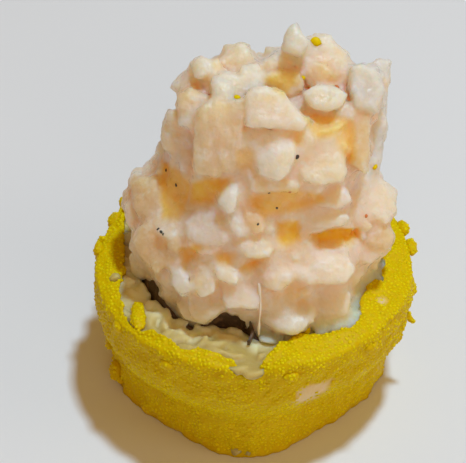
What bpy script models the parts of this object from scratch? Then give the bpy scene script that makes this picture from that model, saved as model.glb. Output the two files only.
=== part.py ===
"""Uramaki roll standing on a cut end, coated with fine roe and topped with a heap of chopped seafood.

The origin is the middle of the flat base, +Z is up, and the side that shows faces -Y.
"""

import math
import random
from collections import namedtuple

import bmesh
import bpy
import numpy as np
from mathutils import Euler, Matrix, Vector, noise

# Sizes of the roll in metres
MM = 0.001
GAP = 0.35 * MM
ROLL_HEIGHT = 22.5 * MM
TOP_RADIUS = 23.1 * MM
BASE_RADIUS = 19.2 * MM
TOP_SHIFT = Vector((0.9, -0.7)) * MM
SWELL_START = 0.3
SWELL_END = 0.72
ROE_THICKNESS = 1.4 * MM
ROE_GRAIN = 0.85 * MM
NORI_RADIUS = 16.3 * MM
NORI_THICKNESS = 0.7 * MM
NORI_PROUD = 0.9 * MM
RICE_GRAIN = Vector((5.2, 2.3, 2.0)) * MM

# The pocket under the heap at the front, where the seaweed shows and bends inward
POCKET_ANGLE = 259.0
POCKET_WIDTH = 15.0
POCKET_DENT = 1.2 * MM
POCKET_SIZE = Vector((7.2, 9.0, 7.4)) * MM

# Profile of the heap over the cut face: height, middle across, half width, half depth, in millimetres
HEAP_PROFILE = (
    (0.0, 0.2, 17.0, 16.2),
    (5.0, 0.4, 18.4, 16.4),
    (10.0, 0.4, 18.6, 15.6),
    (14.0, 0.8, 17.2, 14.2),
    (17.0, 1.1, 14.8, 12.8),
    (21.0, 1.9, 14.2, 12.0),
    (26.0, 2.8, 13.9, 11.2),
    (30.0, 3.3, 13.3, 9.6),
    (32.4, 4.0, 11.4, 7.4),
)
HEAP_TOP = 33.4 * MM
HEAP_MIDDLE_DEPTH = 1.0 * MM
HEAP_UNDERSIDE = ROLL_HEIGHT + 1.0 * MM
ROE_CEILING = ROLL_HEIGHT + 2.4 * MM

ROUND_STEPS = 48
ROE_ROUND_STEPS = 72
ROE_ROWS = 11
SEAM_ROWS = (0.0, 0.34, 0.5, 0.66, 1.0)
SEAM_TOP = ROLL_HEIGHT - 1.3 * MM
SEED = 11
WELD = 0.004 * MM

Piece = namedtuple("Piece", "shape across height out size lean roll")

# Pieces that show from the front: place over the cut face, size across, up and deep (mm), turns (degrees)
FRONT_PIECES = (
    Piece("block", -4.7, 28.0, -0.6, (7.2, 12.0, 5.0), 14, 3),
    Piece("block", 2.6, 31.4, 0.2, (8.6, 7.4, 4.2), 34, -8),
    Piece("block", 2.8, 26.6, -0.2, (6.6, 6.6, 5.0), 12, 12),
    Piece("block", 16.0, 27.4, -0.8, (6.6, 13.5, 4.4), 2, 2),
    Piece("block", -15.3, 12.6, -0.4, (4.2, 9.6, 4.6), 6, 5),
    Piece("block", 4.8, 2.9, 0.8, (5.4, 5.6, 4.4), 4, 4),
    Piece("lump", -4.6, 32.6, 1.6, (3.8, 4.0, 3.6), 0, 0),
    Piece("lump", -9.8, 30.2, -0.2, (4.8, 5.4, 4.8), 0, 0),
    Piece("lump", -8.6, 26.8, 0.2, (5.0, 4.8, 4.4), 0, 15),
    Piece("lump", -11.0, 23.0, -0.4, (5.0, 6.4, 5.0), 0, 0),
    Piece("lump", 10.4, 30.6, 0.4, (5.6, 4.0, 4.4), 0, -8),
    Piece("lump", 8.8, 25.6, 0.0, (8.0, 6.4, 5.4), 0, -15),
    Piece("lump", 6.2, 21.0, 0.0, (8.0, 5.8, 5.0), 0, 8),
    Piece("lump", 12.2, 19.4, -0.2, (7.0, 5.8, 5.2), 0, -10),
    Piece("lump", 1.6, 20.2, -0.4, (5.6, 6.0, 4.4), 0, 0),
    Piece("lump", 10.4, 14.8, 0.0, (7.2, 5.2, 5.0), 0, 6),
    Piece("lump", 16.4, 13.2, 0.0, (7.8, 6.4, 5.8), 0, -12),
    Piece("lump", 19.2, 7.8, -0.6, (7.0, 7.4, 6.4), 0, 0),
    Piece("lump", 5.4, 10.6, 0.2, (8.4, 6.4, 5.2), 0, 6),
    Piece("lump", 11.8, 8.0, 0.2, (7.0, 5.8, 5.0), 0, -8),
    Piece("lump", 9.6, 2.6, 2.4, (7.6, 4.6, 5.4), 0, -4),
    Piece("lump", 13.6, 2.2, 2.4, (5.6, 3.8, 5.0), 0, 0),
    Piece("lump", 15.2, 5.0, -0.6, (6.4, 6.0, 5.2), 0, 0),
    Piece("lump", -7.0, 16.4, 0.2, (7.2, 7.0, 5.4), 0, 0),
    Piece("lump", -2.6, 14.4, 0.2, (6.8, 7.0, 5.0), 0, 5),
    Piece("lump", -7.6, 21.4, 0.0, (6.0, 5.6, 4.8), 0, -10),
    Piece("lump", -12.4, 17.2, 0.0, (5.8, 6.2, 5.4), 0, -20),
    Piece("lump", -17.8, 9.8, 0.0, (4.8, 4.8, 5.0), 0, 0),
    Piece("lump", -18.2, 5.6, 0.4, (5.4, 5.6, 5.4), 0, 0),
    Piece("lump", -16.4, 2.8, 0.8, (5.0, 4.4, 5.0), 0, 0),
    Piece("lump", -13.2, 6.6, 0.2, (6.0, 6.8, 5.6), 0, 0),
    Piece("lump", -5.4, 7.8, 0.4, (10.4, 7.2, 5.8), 0, -5),
    Piece("lump", -9.0, 3.0, 0.2, (6.0, 5.4, 5.0), 0, 0),
    Piece("lump", 0.6, 6.8, 0.2, (6.0, 6.4, 4.8), 0, 0),
    Piece("rod", -11.2, 8.0, 1.0, (2.2, 8.0, 2.2), -6, -26),
    Piece("horn", -1.4, 20.6, 0.8, (3.4, 6.4, 3.2), -10, 20),
)
# Pieces of the crown, the same, but out is how far back they lie from the middle
CROWN_PIECES = (
    Piece("lump", -1.6, 33.0, 0.4, (6.4, 5.0, 6.0), 0, 10),
    Piece("lump", -6.4, 32.0, 0.6, (5.6, 5.2, 6.0), 0, -20),
    Piece("block", 4.8, 34.8, 1.6, (5.0, 7.0, 4.8), 10, 16),
    Piece("lump", 9.0, 33.4, 0.4, (6.2, 5.6, 6.0), 0, 12),
    Piece("lump", 13.6, 31.4, 0.0, (6.4, 5.0, 6.0), 0, 20),
    Piece("lump", 2.0, 31.6, 4.0, (7.0, 4.4, 6.0), 0, 0),
    Piece("lump", -8.4, 29.4, 3.0, (5.8, 5.4, 6.0), 0, -10),
    Piece("lump", 10.4, 31.2, 4.6, (7.0, 5.0, 5.6), 0, 8),
)
BACK_ROWS = (4.0, 11.0, 18.5, 25.5)
BACK_SPACING = 7.0 * MM
HEAP_DETAIL = 0.5

# Larger clumps of roe on the rim and the wall: angle, height (mm), how far they stand out (mm), width (mm)
ROE_CLUMPS = (
    (147, 22.4, 0.5, 2.6),
    (156, 21.8, 0.4, 2.4),
    (171, 19.6, 0.3, 2.6),
    (193, 1.4, 0.2, 2.8),
    (213, 20.8, 0.2, 2.2),
    (238, 20.4, 0.2, 2.4),
    (283, 20.6, 0.2, 2.4),
    (316, 20.4, 0.3, 2.6),
    (341, 13.4, 0.2, 2.6),
    (352, 19.2, 0.4, 2.8),
    (8, 21.6, 1.0, 3.2),
    (17, 22.2, 0.8, 2.8),
    (38, 21.6, 0.3, 2.4),
    (74, 21.2, 0.3, 2.6),
    (110, 21.8, 0.3, 2.4),
)
# Patches of roe that lie over the rice beside the heap: angle, inward from the rim (mm), length, width (mm)
ROE_PATCHES = (
    (289, 1.6, 4.4, 3.6),
    (298, 2.2, 5.2, 4.8),
    (308, 1.6, 4.0, 4.4),
    (333, 2.6, 6.2, 6.4),
    (350, 2.8, 6.4, 6.6),
    (6, 2.2, 5.2, 6.0),
)
ROE_PATCH_TILT = math.radians(17)
ROE_LOOSE_GRAINS = 24
RICE_TOP_GRAINS = 40


def clear_scene():
    """Remove whatever the scene holds."""
    for old in list(bpy.data.objects):
        bpy.data.objects.remove(old, do_unlink=True)


def make_material(name, colour, roughness, metallic=0.0):
    """A Principled material with one linear colour."""
    material = bpy.data.materials.new(name)
    material.use_nodes = True
    shader = material.node_tree.nodes["Principled BSDF"]
    shader.inputs["Base Color"].default_value = (*colour, 1.0)
    shader.inputs["Roughness"].default_value = roughness
    shader.inputs["Metallic"].default_value = metallic
    return material


def make_object(name, mesh_source, material):
    """Turn a bmesh into a named object with one material and smooth faces."""
    mesh = bpy.data.meshes.new(name)
    bmesh.ops.recalc_face_normals(mesh_source, faces=mesh_source.faces)
    bmesh.ops.triangulate(mesh_source, faces=mesh_source.faces)
    mesh_source.to_mesh(mesh)
    mesh_source.free()
    mesh.materials.append(material)
    mesh.shade_smooth()
    mesh.set_sharp_from_angle(angle=math.radians(50))
    thing = bpy.data.objects.new(name, mesh)
    bpy.context.scene.collection.objects.link(thing)
    return thing


def angle_between(first, second):
    """Smallest difference of two angles in degrees."""
    return (first - second + 180.0) % 360.0 - 180.0


def smooth_rise(value):
    """Ease from 0 to 1."""
    value = min(max(value, 0.0), 1.0)
    return value * value * (3.0 - 2.0 * value)


def axis_shift(height):
    """Middle of the roll at a height: it leans a little to +X."""
    return TOP_SHIFT * (height / ROLL_HEIGHT)


def body_radius(angle, height):
    """Outer radius of the roe, without its grains, at an angle in degrees and a height."""
    rise = height / ROLL_HEIGHT
    swell = smooth_rise((rise - SWELL_START) / (SWELL_END - SWELL_START))
    radius = BASE_RADIUS + (TOP_RADIUS - BASE_RADIUS) * swell
    turn = math.radians(angle)
    radius += 0.80 * MM * math.cos(2 * turn) * (1.0 - 0.8 * swell)
    radius += 1.00 * MM * math.cos(4 * turn) * (1.0 - swell)
    radius += 0.22 * MM * math.sin(3 * turn + 1.1 + 2.0 * rise)
    radius += 0.16 * MM * math.sin(7 * turn + 0.4 - 3.0 * rise)
    return radius


def rim_height(angle):
    """Height of the roe's rim: it dips at the front, where rice shows over the wall."""
    turn = math.radians(angle)
    dip = math.exp(-((angle_between(angle, 268.0) / 9.0) ** 2))
    swell = 0.7 * math.exp(-((angle_between(angle, 318.0) / 30.0) ** 2))
    wave = 0.25 * math.sin(3 * turn + 0.5) + 0.2 * math.sin(8 * turn)
    return ROLL_HEIGHT + (wave + swell - 1.3 * dip) * MM


def pocket(angle):
    """How far an angle is inside the pocket at the front, from 0 to 1."""
    return math.exp(-((angle_between(angle, POCKET_ANGLE) / POCKET_WIDTH) ** 2))


def nori_radius(angle):
    """Outer radius of the seaweed: a round sheet that bends inward at the pocket."""
    turn = math.radians(angle)
    return NORI_RADIUS + 0.15 * MM * math.sin(2 * turn + 0.8) - POCKET_DENT * pocket(angle)


def on_circle(angle, radius, height):
    """Point at an angle and radius round the roll's leaning axis."""
    shift = axis_shift(height)
    turn = math.radians(angle)
    return Vector((shift.x + radius * math.cos(turn), shift.y + radius * math.sin(turn), height))


def turned_ring(profile_at, steps):
    """Closed ring through the profile points that profile_at(angle) gives at each angle."""
    shell = bmesh.new()
    loops = []
    for index in range(steps):
        angle = 360.0 * index / steps
        loops.append([shell.verts.new(on_circle(angle, *spot)) for spot in profile_at(angle)])
    for index, near in enumerate(loops):
        far = loops[(index + 1) % steps]
        for spot in range(len(near)):
            following = (spot + 1) % len(near)
            shell.faces.new((near[spot], far[spot], far[following], near[following]))
    return shell


def relief(point, size, depth):
    """Smooth bumps of about a size, between minus and plus a depth."""
    return depth * noise.noise(point / size)


def roe_profile(angle):
    """Section of the roe coat: lumpy outside, rounded rim, plain inside along the rice."""
    top = rim_height(angle)
    rounding = 0.9 * MM
    points = []
    for row in range(ROE_ROWS):
        height = (top - rounding) * row / (ROE_ROWS - 1)
        radius = body_radius(angle, height)
        place = on_circle(angle, radius, height)
        lift = relief(place, 1.7 * MM, 0.35 * MM) + relief(place, 4.5 * MM, 0.3 * MM)
        points.append((radius + lift, height))
    outer = body_radius(angle, top)
    rim = relief(on_circle(angle, outer, top), 1.6 * MM, 0.3 * MM)
    points.append((outer - 0.35 * MM, top - 0.3 * rounding + rim))
    points.append((outer - 0.8 * MM, top + rim))
    for share in reversed(SEAM_ROWS):
        height = SEAM_TOP * share
        points.append((body_radius(angle, height) - ROE_THICKNESS, height))
    return points


def rice_profile(angle):
    """Section of the rice between the seaweed and the roe, with a lumpy top face."""
    inner = nori_radius(angle) + GAP
    points = []
    for share in SEAM_ROWS:
        height = SEAM_TOP * share
        points.append((body_radius(angle, height) - ROE_THICKNESS - GAP, height))
    outer = points[-1][0]
    dip = 0.7 * MM * math.exp(-((angle_between(angle, 268.0) / 9.0) ** 2))
    for share in (0.12, 0.38, 0.64, 0.9):
        radius = outer + (inner - outer) * share
        lift = relief(on_circle(angle, radius, ROLL_HEIGHT), 2.4 * MM, 0.5 * MM)
        points.append((radius, ROLL_HEIGHT - 0.25 * MM + lift - dip * (1.0 - share)))
    points.append((inner, ROLL_HEIGHT - 0.7 * MM))
    points.append((inner, 0.0))
    return points


def nori_profile(angle):
    """Section of the seaweed sheet: a thin wall that stands proud of the rice at the pocket."""
    outer = nori_radius(angle)
    inner = outer - NORI_THICKNESS
    top = ROLL_HEIGHT + NORI_PROUD * smooth_rise(1.6 * pocket(angle))
    return ((outer, 0.0), (outer, top - 0.15 * MM), (outer - 0.15 * MM, top), (inner, top), (inner, 0.0))


def roe_reach(angle):
    """Radius in to which the roe covers the top face at an angle, patches counted."""
    radius = body_radius(angle, ROLL_HEIGHT)
    cover = ROE_THICKNESS
    for middle, inward, length, width in ROE_PATCHES:
        half_angle = math.degrees((0.5 * width + 0.8) * MM / radius)
        if abs(angle_between(angle, middle)) < half_angle:
            cover = max(cover, (inward + 0.5 * length) * MM)
    return radius - cover


def clear_profile(angle):
    """Section of what the heap stays out of: the rice and seaweed below it and the roe beside it."""
    inner = nori_radius(angle) - NORI_THICKNESS - GAP
    beside = roe_reach(angle) - GAP
    reach = 2.0 * TOP_RADIUS
    return (
        (inner, -GAP),
        (reach, -GAP),
        (reach, ROE_CEILING),
        (beside, ROE_CEILING),
        (beside, HEAP_UNDERSIDE),
        (inner, HEAP_UNDERSIDE),
    )


def heap_section(height):
    """Middle across, half width and half depth of the heap at a height over the cut face."""
    rows = np.array(HEAP_PROFILE) * MM
    return tuple(float(np.interp(height, rows[:, 0], rows[:, column])) for column in (1, 2, 3))


def heap_point(angle, height, out=0.0):
    """Point on the heap's outline at an angle in degrees, a height over the cut face and a distance out."""
    middle, half_width, half_depth = heap_section(height)
    turn = math.radians(angle)
    shift = TOP_SHIFT
    return Vector((
        shift.x + middle + (half_width + out) * math.cos(turn),
        shift.y + HEAP_MIDDLE_DEPTH + (half_depth + out) * math.sin(turn),
        ROLL_HEIGHT + height,
    ))


def front_angle(across, height):
    """Angle at which the heap's front outline passes a place across."""
    middle, half_width, _ = heap_section(height)
    share = max(-1.0, min(1.0, (across - middle) / half_width))
    return 270.0 + math.degrees(math.asin(share))


def heap_core():
    """The filling inside the seaweed and the heap above it, as one closed body."""
    shell = bmesh.new()
    loops = []
    for height in (0.0, HEAP_UNDERSIDE):
        loop = []
        for index in range(ROUND_STEPS):
            angle = 360.0 * index / ROUND_STEPS
            radius = nori_radius(angle) - NORI_THICKNESS - GAP
            loop.append(shell.verts.new(on_circle(angle, radius, height)))
        loops.append(loop)
    for row in HEAP_PROFILE:
        height = max(row[0] * MM, HEAP_UNDERSIDE - ROLL_HEIGHT)
        loop = []
        for index in range(ROUND_STEPS):
            angle = 360.0 * index / ROUND_STEPS
            point = heap_point(angle, height, -1.2 * MM)
            lift = relief(point, 3.5 * MM, 0.9 * MM)
            loop.append(shell.verts.new(heap_point(angle, height, lift - 1.2 * MM)))
        loops.append(loop)
    for near, far in zip(loops, loops[1:]):
        for index in range(ROUND_STEPS):
            following = (index + 1) % ROUND_STEPS
            shell.faces.new((near[index], near[following], far[following], far[index]))
    shell.faces.new(list(reversed(loops[0])))
    tip = heap_point(0.0, HEAP_TOP)
    crown = shell.verts.new((TOP_SHIFT.x + heap_section(HEAP_TOP)[0], tip.y, tip.z))
    for index in range(ROUND_STEPS):
        shell.faces.new((loops[-1][index], loops[-1][(index + 1) % ROUND_STEPS], crown))
    return shell


def piece_shape(piece, placing, number):
    """One piece of the heap with few sides, placed by a matrix."""
    body = bmesh.new()
    size = Vector((piece.size[0], piece.size[2], piece.size[1])) * MM
    if piece.shape == "block":
        bmesh.ops.create_cube(body, size=1.0)
        bmesh.ops.scale(body, vec=size, verts=body.verts)
        bmesh.ops.bevel(body, geom=body.edges[:], offset=0.16 * min(size), segments=1, affect="EDGES")
    elif piece.shape == "rod":
        bmesh.ops.create_cone(
            body, cap_ends=True, segments=8, radius1=size.x / 2, radius2=size.x * 0.4, depth=size.z)
    elif piece.shape == "horn":
        bmesh.ops.create_cone(
            body, cap_ends=True, segments=8, radius1=size.x / 2, radius2=size.x * 0.12, depth=size.z)
    else:
        bmesh.ops.create_icosphere(body, subdivisions=2, radius=0.5)
        bmesh.ops.scale(body, vec=size, verts=body.verts)
    for vert in body.verts:
        reach = vert.co.length
        vert.co += vert.co.normalized() * relief(vert.co + Vector((number, 0, 0)), 2.2 * MM, 0.12 * reach)
    bmesh.ops.transform(body, matrix=placing, verts=body.verts)
    return body


def piece_placing(point, angle, lean, roll):
    """Matrix that stands a piece at a point, facing away from the heap, leaning back and to the side."""
    facing = Euler((0.0, 0.0, math.radians(angle - 270.0))).to_matrix()
    tilt = Euler((math.radians(-lean), math.radians(roll), 0.0)).to_matrix()
    return Matrix.Translation(point) @ (facing @ tilt).to_4x4()


def heap_pieces():
    """All pieces that show on the heap: those of the front, a rule for the back, and the crown."""
    shapes = []
    for number, piece in enumerate(FRONT_PIECES):
        height = piece.height * MM
        angle = front_angle(piece.across * MM, height)
        depth = piece.size[2] * MM
        point = heap_point(angle, height, piece.out * MM + 0.35 * MM - 0.30 * depth)
        shapes.append(piece_shape(piece, piece_placing(point, angle, piece.lean, piece.roll), number))
    draw = random.Random(SEED)
    for row in BACK_ROWS:
        height = row * MM
        _, half_width, half_depth = heap_section(height)
        count = round(math.pi * (half_width + half_depth) / 2 / BACK_SPACING)
        for index in range(count):
            angle = 180.0 * (index + draw.uniform(0.25, 0.75)) / count
            lifted = height + draw.uniform(-1.2, 1.2) * MM
            size = (draw.uniform(5.0, 7.6), draw.uniform(4.6, 7.4), draw.uniform(4.2, 5.2))
            shape = "block" if draw.random() < 0.3 else "lump"
            piece = Piece(shape, 0, 0, 0, size, draw.uniform(-5, 20), draw.uniform(-25, 25))
            point = heap_point(angle, lifted, -1.0 * MM)
            shapes.append(piece_shape(piece, piece_placing(point, angle, piece.lean, piece.roll), index))
    for number, piece in enumerate(CROWN_PIECES):
        point = Vector((piece.across, piece.out, piece.height)) * MM + Vector((*TOP_SHIFT, ROLL_HEIGHT))
        shapes.append(piece_shape(piece, piece_placing(point, 270.0, piece.lean, piece.roll), number))
    return shapes


def fuse(thing, shapes, operation="UNION"):
    """Join shapes to an object, or cut them from it, by one Boolean on a collection, then apply it."""
    group = bpy.data.collections.new(thing.name + "_shapes")
    for number, body in enumerate(shapes):
        helper = make_object(f"{thing.name}_shape_{number}", body, thing.data.materials[0])
        bpy.context.scene.collection.objects.unlink(helper)
        group.objects.link(helper)
    bpy.context.scene.collection.children.link(group)
    boolean = thing.modifiers.new("Fuse", "BOOLEAN")
    boolean.operation = operation
    boolean.operand_type = "COLLECTION"
    boolean.collection = group
    boolean.solver = "MANIFOLD"
    bpy.context.view_layer.update()
    evaluated = thing.evaluated_get(bpy.context.evaluated_depsgraph_get())
    joined = bpy.data.meshes.new_from_object(evaluated)
    thing.modifiers.remove(boolean)
    thing.data = joined
    for helper in list(group.objects):
        bpy.data.objects.remove(helper, do_unlink=True)
    bpy.data.collections.remove(group)


def keep_largest(thing):
    """Drop loose scraps and inner shells: only the body with the most faces stays."""
    body = bmesh.new()
    body.from_mesh(thing.data)
    bmesh.ops.remove_doubles(body, verts=body.verts, dist=WELD)
    bmesh.ops.dissolve_degenerate(body, edges=body.edges, dist=WELD)
    remaining = set(body.faces)
    groups = []
    while remaining:
        queue = [remaining.pop()]
        group = list(queue)
        while queue:
            neighbours = {other for edge in queue.pop().edges for other in edge.link_faces}
            found = neighbours & remaining
            remaining -= found
            queue.extend(found)
            group.extend(found)
        groups.append(group)
    groups.sort(key=len)
    scraps = [face for group in groups[:-1] for face in group]
    bmesh.ops.delete(body, geom=scraps, context="FACES")
    bmesh.ops.holes_fill(body, edges=[edge for edge in body.edges if edge.is_boundary])
    bmesh.ops.triangulate(body, faces=body.faces)
    body.to_mesh(thing.data)
    body.free()
    thing.data.shade_smooth()
    thing.data.set_sharp_from_angle(angle=math.radians(50))


def simplify(thing, share):
    """Keep a share of an object's triangles, with the same form."""
    decimate = thing.modifiers.new("Simplify", "DECIMATE")
    decimate.ratio = share
    bpy.context.view_layer.update()
    evaluated = thing.evaluated_get(bpy.context.evaluated_depsgraph_get())
    simpler = bpy.data.meshes.new_from_object(evaluated)
    thing.modifiers.remove(decimate)
    thing.data = simpler


def rounded_body(centre, size, turn=0.0, tilt=0.0, detail=1):
    """Small ellipsoid with few sides."""
    body = bmesh.new()
    bmesh.ops.create_icosphere(body, subdivisions=detail, radius=0.5)
    bmesh.ops.scale(body, vec=size, verts=body.verts)
    spin = Euler((0.0, tilt, turn)).to_matrix().to_4x4()
    bmesh.ops.transform(body, matrix=Matrix.Translation(centre) @ spin, verts=body.verts)
    return body


def make_roe_coat():
    """Thin coat of roe on the roll's side, with its larger clumps and grains fused on."""
    coat = make_object(
        "roe_coat", turned_ring(roe_profile, ROE_ROUND_STEPS),
        make_material("roe_yellow", (0.52, 0.31, 0.01), 0.38))
    draw = random.Random(SEED + 1)
    shapes = []
    for angle, height, out, width in ROE_CLUMPS:
        level = height * MM
        radius = body_radius(angle, level) + out * MM - 0.45 * MM
        size = Vector((1.8 * MM, width * MM, 1.9 * MM))
        shapes.append(rounded_body(on_circle(angle, radius, level), size, math.radians(angle)))
    for angle, inward, length, width in ROE_PATCHES:
        radius = body_radius(angle, ROLL_HEIGHT) - inward * MM
        size = Vector((length * MM, width * MM, 1.4 * MM))
        centre = on_circle(angle, radius, ROLL_HEIGHT + 1.15 * MM)
        shapes.append(rounded_body(centre, size, math.radians(angle), ROE_PATCH_TILT, 2))
    for _ in range(ROE_LOOSE_GRAINS):
        angle = draw.uniform(0, 360)
        level = draw.uniform(2.0 * MM, rim_height(angle) - 1.6 * MM)
        radius = body_radius(angle, level) + 0.15 * MM
        size = Vector((1, 1, 1)) * ROE_GRAIN * draw.uniform(1.3, 1.9)
        shapes.append(rounded_body(on_circle(angle, radius, level), size, math.radians(angle)))
    fuse(coat, shapes)
    keep_largest(coat)


def make_rice():
    """Ring of rice that runs through the roll, with the grains of its top face fused on."""
    rice = make_object(
        "rice", turned_ring(rice_profile, ROUND_STEPS),
        make_material("rice_pale", (0.55, 0.46, 0.30), 0.45))
    draw = random.Random(SEED + 2)
    shapes = []
    for index in range(RICE_TOP_GRAINS):
        angle = 360.0 * (index + draw.uniform(0.0, 0.6)) / RICE_TOP_GRAINS
        inner = nori_radius(angle) + GAP
        outer = body_radius(angle, ROLL_HEIGHT) - ROE_THICKNESS - GAP
        lane = 0.38 if index % 2 else 0.60
        radius = inner + (outer - inner) * lane
        size = RICE_GRAIN * draw.uniform(0.7, 0.85)
        turn = math.radians(angle + 90.0 + draw.uniform(-16, 16))
        centre = on_circle(angle, radius, ROLL_HEIGHT - draw.uniform(0.5, 0.8) * MM)
        shapes.append(rounded_body(centre, size, turn, draw.uniform(-0.12, 0.12)))
    fuse(rice, shapes)
    keep_largest(rice)


def make_nori():
    """Seaweed sheet round the filling, with its loose end bent outward over the rice."""
    nori = make_object(
        "nori", turned_ring(nori_profile, ROUND_STEPS),
        make_material("nori_dark", (0.045, 0.026, 0.016), 0.5))
    flap = bmesh.new()
    bmesh.ops.create_cube(flap, size=1.0)
    bmesh.ops.scale(flap, vec=Vector((0.6, 2.6, 1.0)) * MM, verts=flap.verts)
    angle = POCKET_ANGLE + 13.0
    centre = on_circle(angle, nori_radius(angle) + 0.9 * MM, ROLL_HEIGHT + 0.75 * MM)
    bmesh.ops.translate(flap, vec=centre, verts=flap.verts)
    fuse(nori, [flap])
    keep_largest(nori)


def make_topping():
    """Filling and heap of chopped seafood as one solid, hollowed over the pocket."""
    topping = make_object(
        "topping", heap_core(), make_material("seafood_cream", (0.58, 0.40, 0.26), 0.32))
    fuse(topping, heap_pieces())
    keep_largest(topping)
    simplify(topping, HEAP_DETAIL)
    keep_largest(topping)
    hollow = on_circle(POCKET_ANGLE, NORI_RADIUS - 1.6 * MM, ROLL_HEIGHT + 0.8 * MM)
    pocket_cut = rounded_body(hollow, POCKET_SIZE, math.radians(POCKET_ANGLE - 270.0), 0.0, 2)
    fuse(topping, [turned_ring(clear_profile, 2 * ROUND_STEPS), pocket_cut], "DIFFERENCE")
    keep_largest(topping)


def main():
    """Build the four parts of the roll."""
    clear_scene()
    make_roe_coat()
    make_rice()
    make_nori()
    make_topping()


main()
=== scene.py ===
"""Looks of an upright cut uramaki roll: roe coat, rice, seaweed and a heap of chopped seafood in sauce."""

import math
import random
from collections import namedtuple

import bmesh
import bpy
import numpy as np
from bpy.props import FloatProperty, FloatVectorProperty, IntProperty, PointerProperty
from mathutils import Euler, Matrix, Vector, noise
from mathutils.bvhtree import BVHTree
from mathutils.geometry import intersect_line_plane


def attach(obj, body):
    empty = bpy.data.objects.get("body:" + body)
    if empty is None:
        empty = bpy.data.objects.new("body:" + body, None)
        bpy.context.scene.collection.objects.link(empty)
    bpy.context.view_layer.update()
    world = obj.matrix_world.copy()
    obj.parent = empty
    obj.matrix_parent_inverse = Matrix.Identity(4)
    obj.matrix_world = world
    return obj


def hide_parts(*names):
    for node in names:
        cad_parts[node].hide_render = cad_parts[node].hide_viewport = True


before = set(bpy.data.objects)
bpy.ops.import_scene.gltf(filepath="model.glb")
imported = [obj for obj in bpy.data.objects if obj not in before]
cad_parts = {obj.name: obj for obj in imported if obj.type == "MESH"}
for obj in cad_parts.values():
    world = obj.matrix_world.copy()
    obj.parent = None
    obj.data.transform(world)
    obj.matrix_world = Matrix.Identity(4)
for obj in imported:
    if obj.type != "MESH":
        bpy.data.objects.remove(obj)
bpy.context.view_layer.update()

bl_info = {
    "name": "Uramaki Roll",
    "version": (1, 0, 0),
    "blender": (4, 5, 0),
    "location": "View3D > Sidebar > Roll",
    "description": "Builds an uramaki roll with a roe coat and a seafood heap",
    "category": "Add Mesh",
}

MM = 0.001
SEED = 11

# Added to the seed, so that each group of pieces has random draws of its own
RICE_DRAWS = 2
FILLING_DRAWS = 3
SPECK_DRAWS = 9
CHUNK_DRAWS = 20

# The roll: how its top leans, and where on its height the swell of its upper half starts and ends
TOP_SHIFT = Vector((0.9, -0.7)) * MM
SWELL_START = 0.3
SWELL_END = 0.72
# How oval and how square the base is, and how much of the oval the swell takes away
BASE_OVAL = 0.80 * MM
BASE_SQUARE = 1.00 * MM
OVAL_LOST = 0.8
# Waves of the side: depth (mm), how many round the roll, phase, twist with the height
SIDE_WAVES = ((0.22, 3, 1.1, 2.0), (0.16, 7, 0.4, -3.0))
# Waves of the rim: height (mm), how many round the roll, phase
RIM_WAVES = ((0.25, 3, 0.5), (0.2, 8, 0.0))
# Notch and swell of the rim: angle, width (degrees), height (mm)
NOTCH_ANGLE = 268.0
NOTCH_WIDTH = 7.0
NOTCH_DEPTH = 2.0
RIM_SWELL_ANGLE = 318.0
RIM_SWELL_WIDTH = 30.0
RIM_SWELL_HEIGHT = 0.7
# The pocket at the front, where the seaweed bends inward
POCKET_ANGLE = 255.5
POCKET_WIDTH = 13.0
POCKET_DENT = 2.7 * MM
# Where no small bits of the heap lie beside the pocket
POCKET_CLEAR_ANGLE = 18
POCKET_CLEAR_HEIGHT = 5 * MM
# The place at the left where the seaweed's edge shows too
SHOWN_EDGE_ANGLE = 206.0
SHOWN_EDGE_WIDTH = 14.0
# How deep the seaweed's edge lies under the cut face, and how far it rises at both places (mm)
NORI_SUNK = 1.2
NORI_POCKET_RISE = 3.0
NORI_EDGE_RISE = 2.4
# The loose end of the seaweed: its angle past the pocket, and its size
FLAP_TURN = 13.5
FLAP_SIZE = Vector((0.35, 2.0, 0.9)) * MM
# Hollows at the heap's foot where the seaweed shows: angle, radius, height over the cut face, half sizes (mm)
FOOT_HOLLOWS = (
    (255.6, 15.2, 0.3, (3.6, 3.1, 2.2)),
    (205.0, 17.5, 0.0, (2.3, 3.3, 2.1)),
)

# Profile of the heap over the cut face: height, middle across, half width, half depth, in millimetres
HEAP_PROFILE = (
    (0.0, 0.2, 17.0, 16.2),
    (5.0, 0.4, 18.4, 16.4),
    (10.0, 0.4, 18.6, 15.6),
    (14.0, 0.8, 17.2, 14.2),
    (17.0, 1.1, 14.8, 12.8),
    (21.0, 1.9, 14.2, 12.0),
    (26.0, 2.8, 13.9, 11.2),
    (30.0, 3.3, 13.3, 9.6),
    (32.4, 4.0, 11.4, 7.4),
)
HEAP_TOP = 33.4 * MM
HEAP_MIDDLE_DEPTH = 1.0 * MM
HEAP_UNDERSIDE = -0.4 * MM

Chunk = namedtuple("Chunk", "tint rise turn out depth outline")

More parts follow.
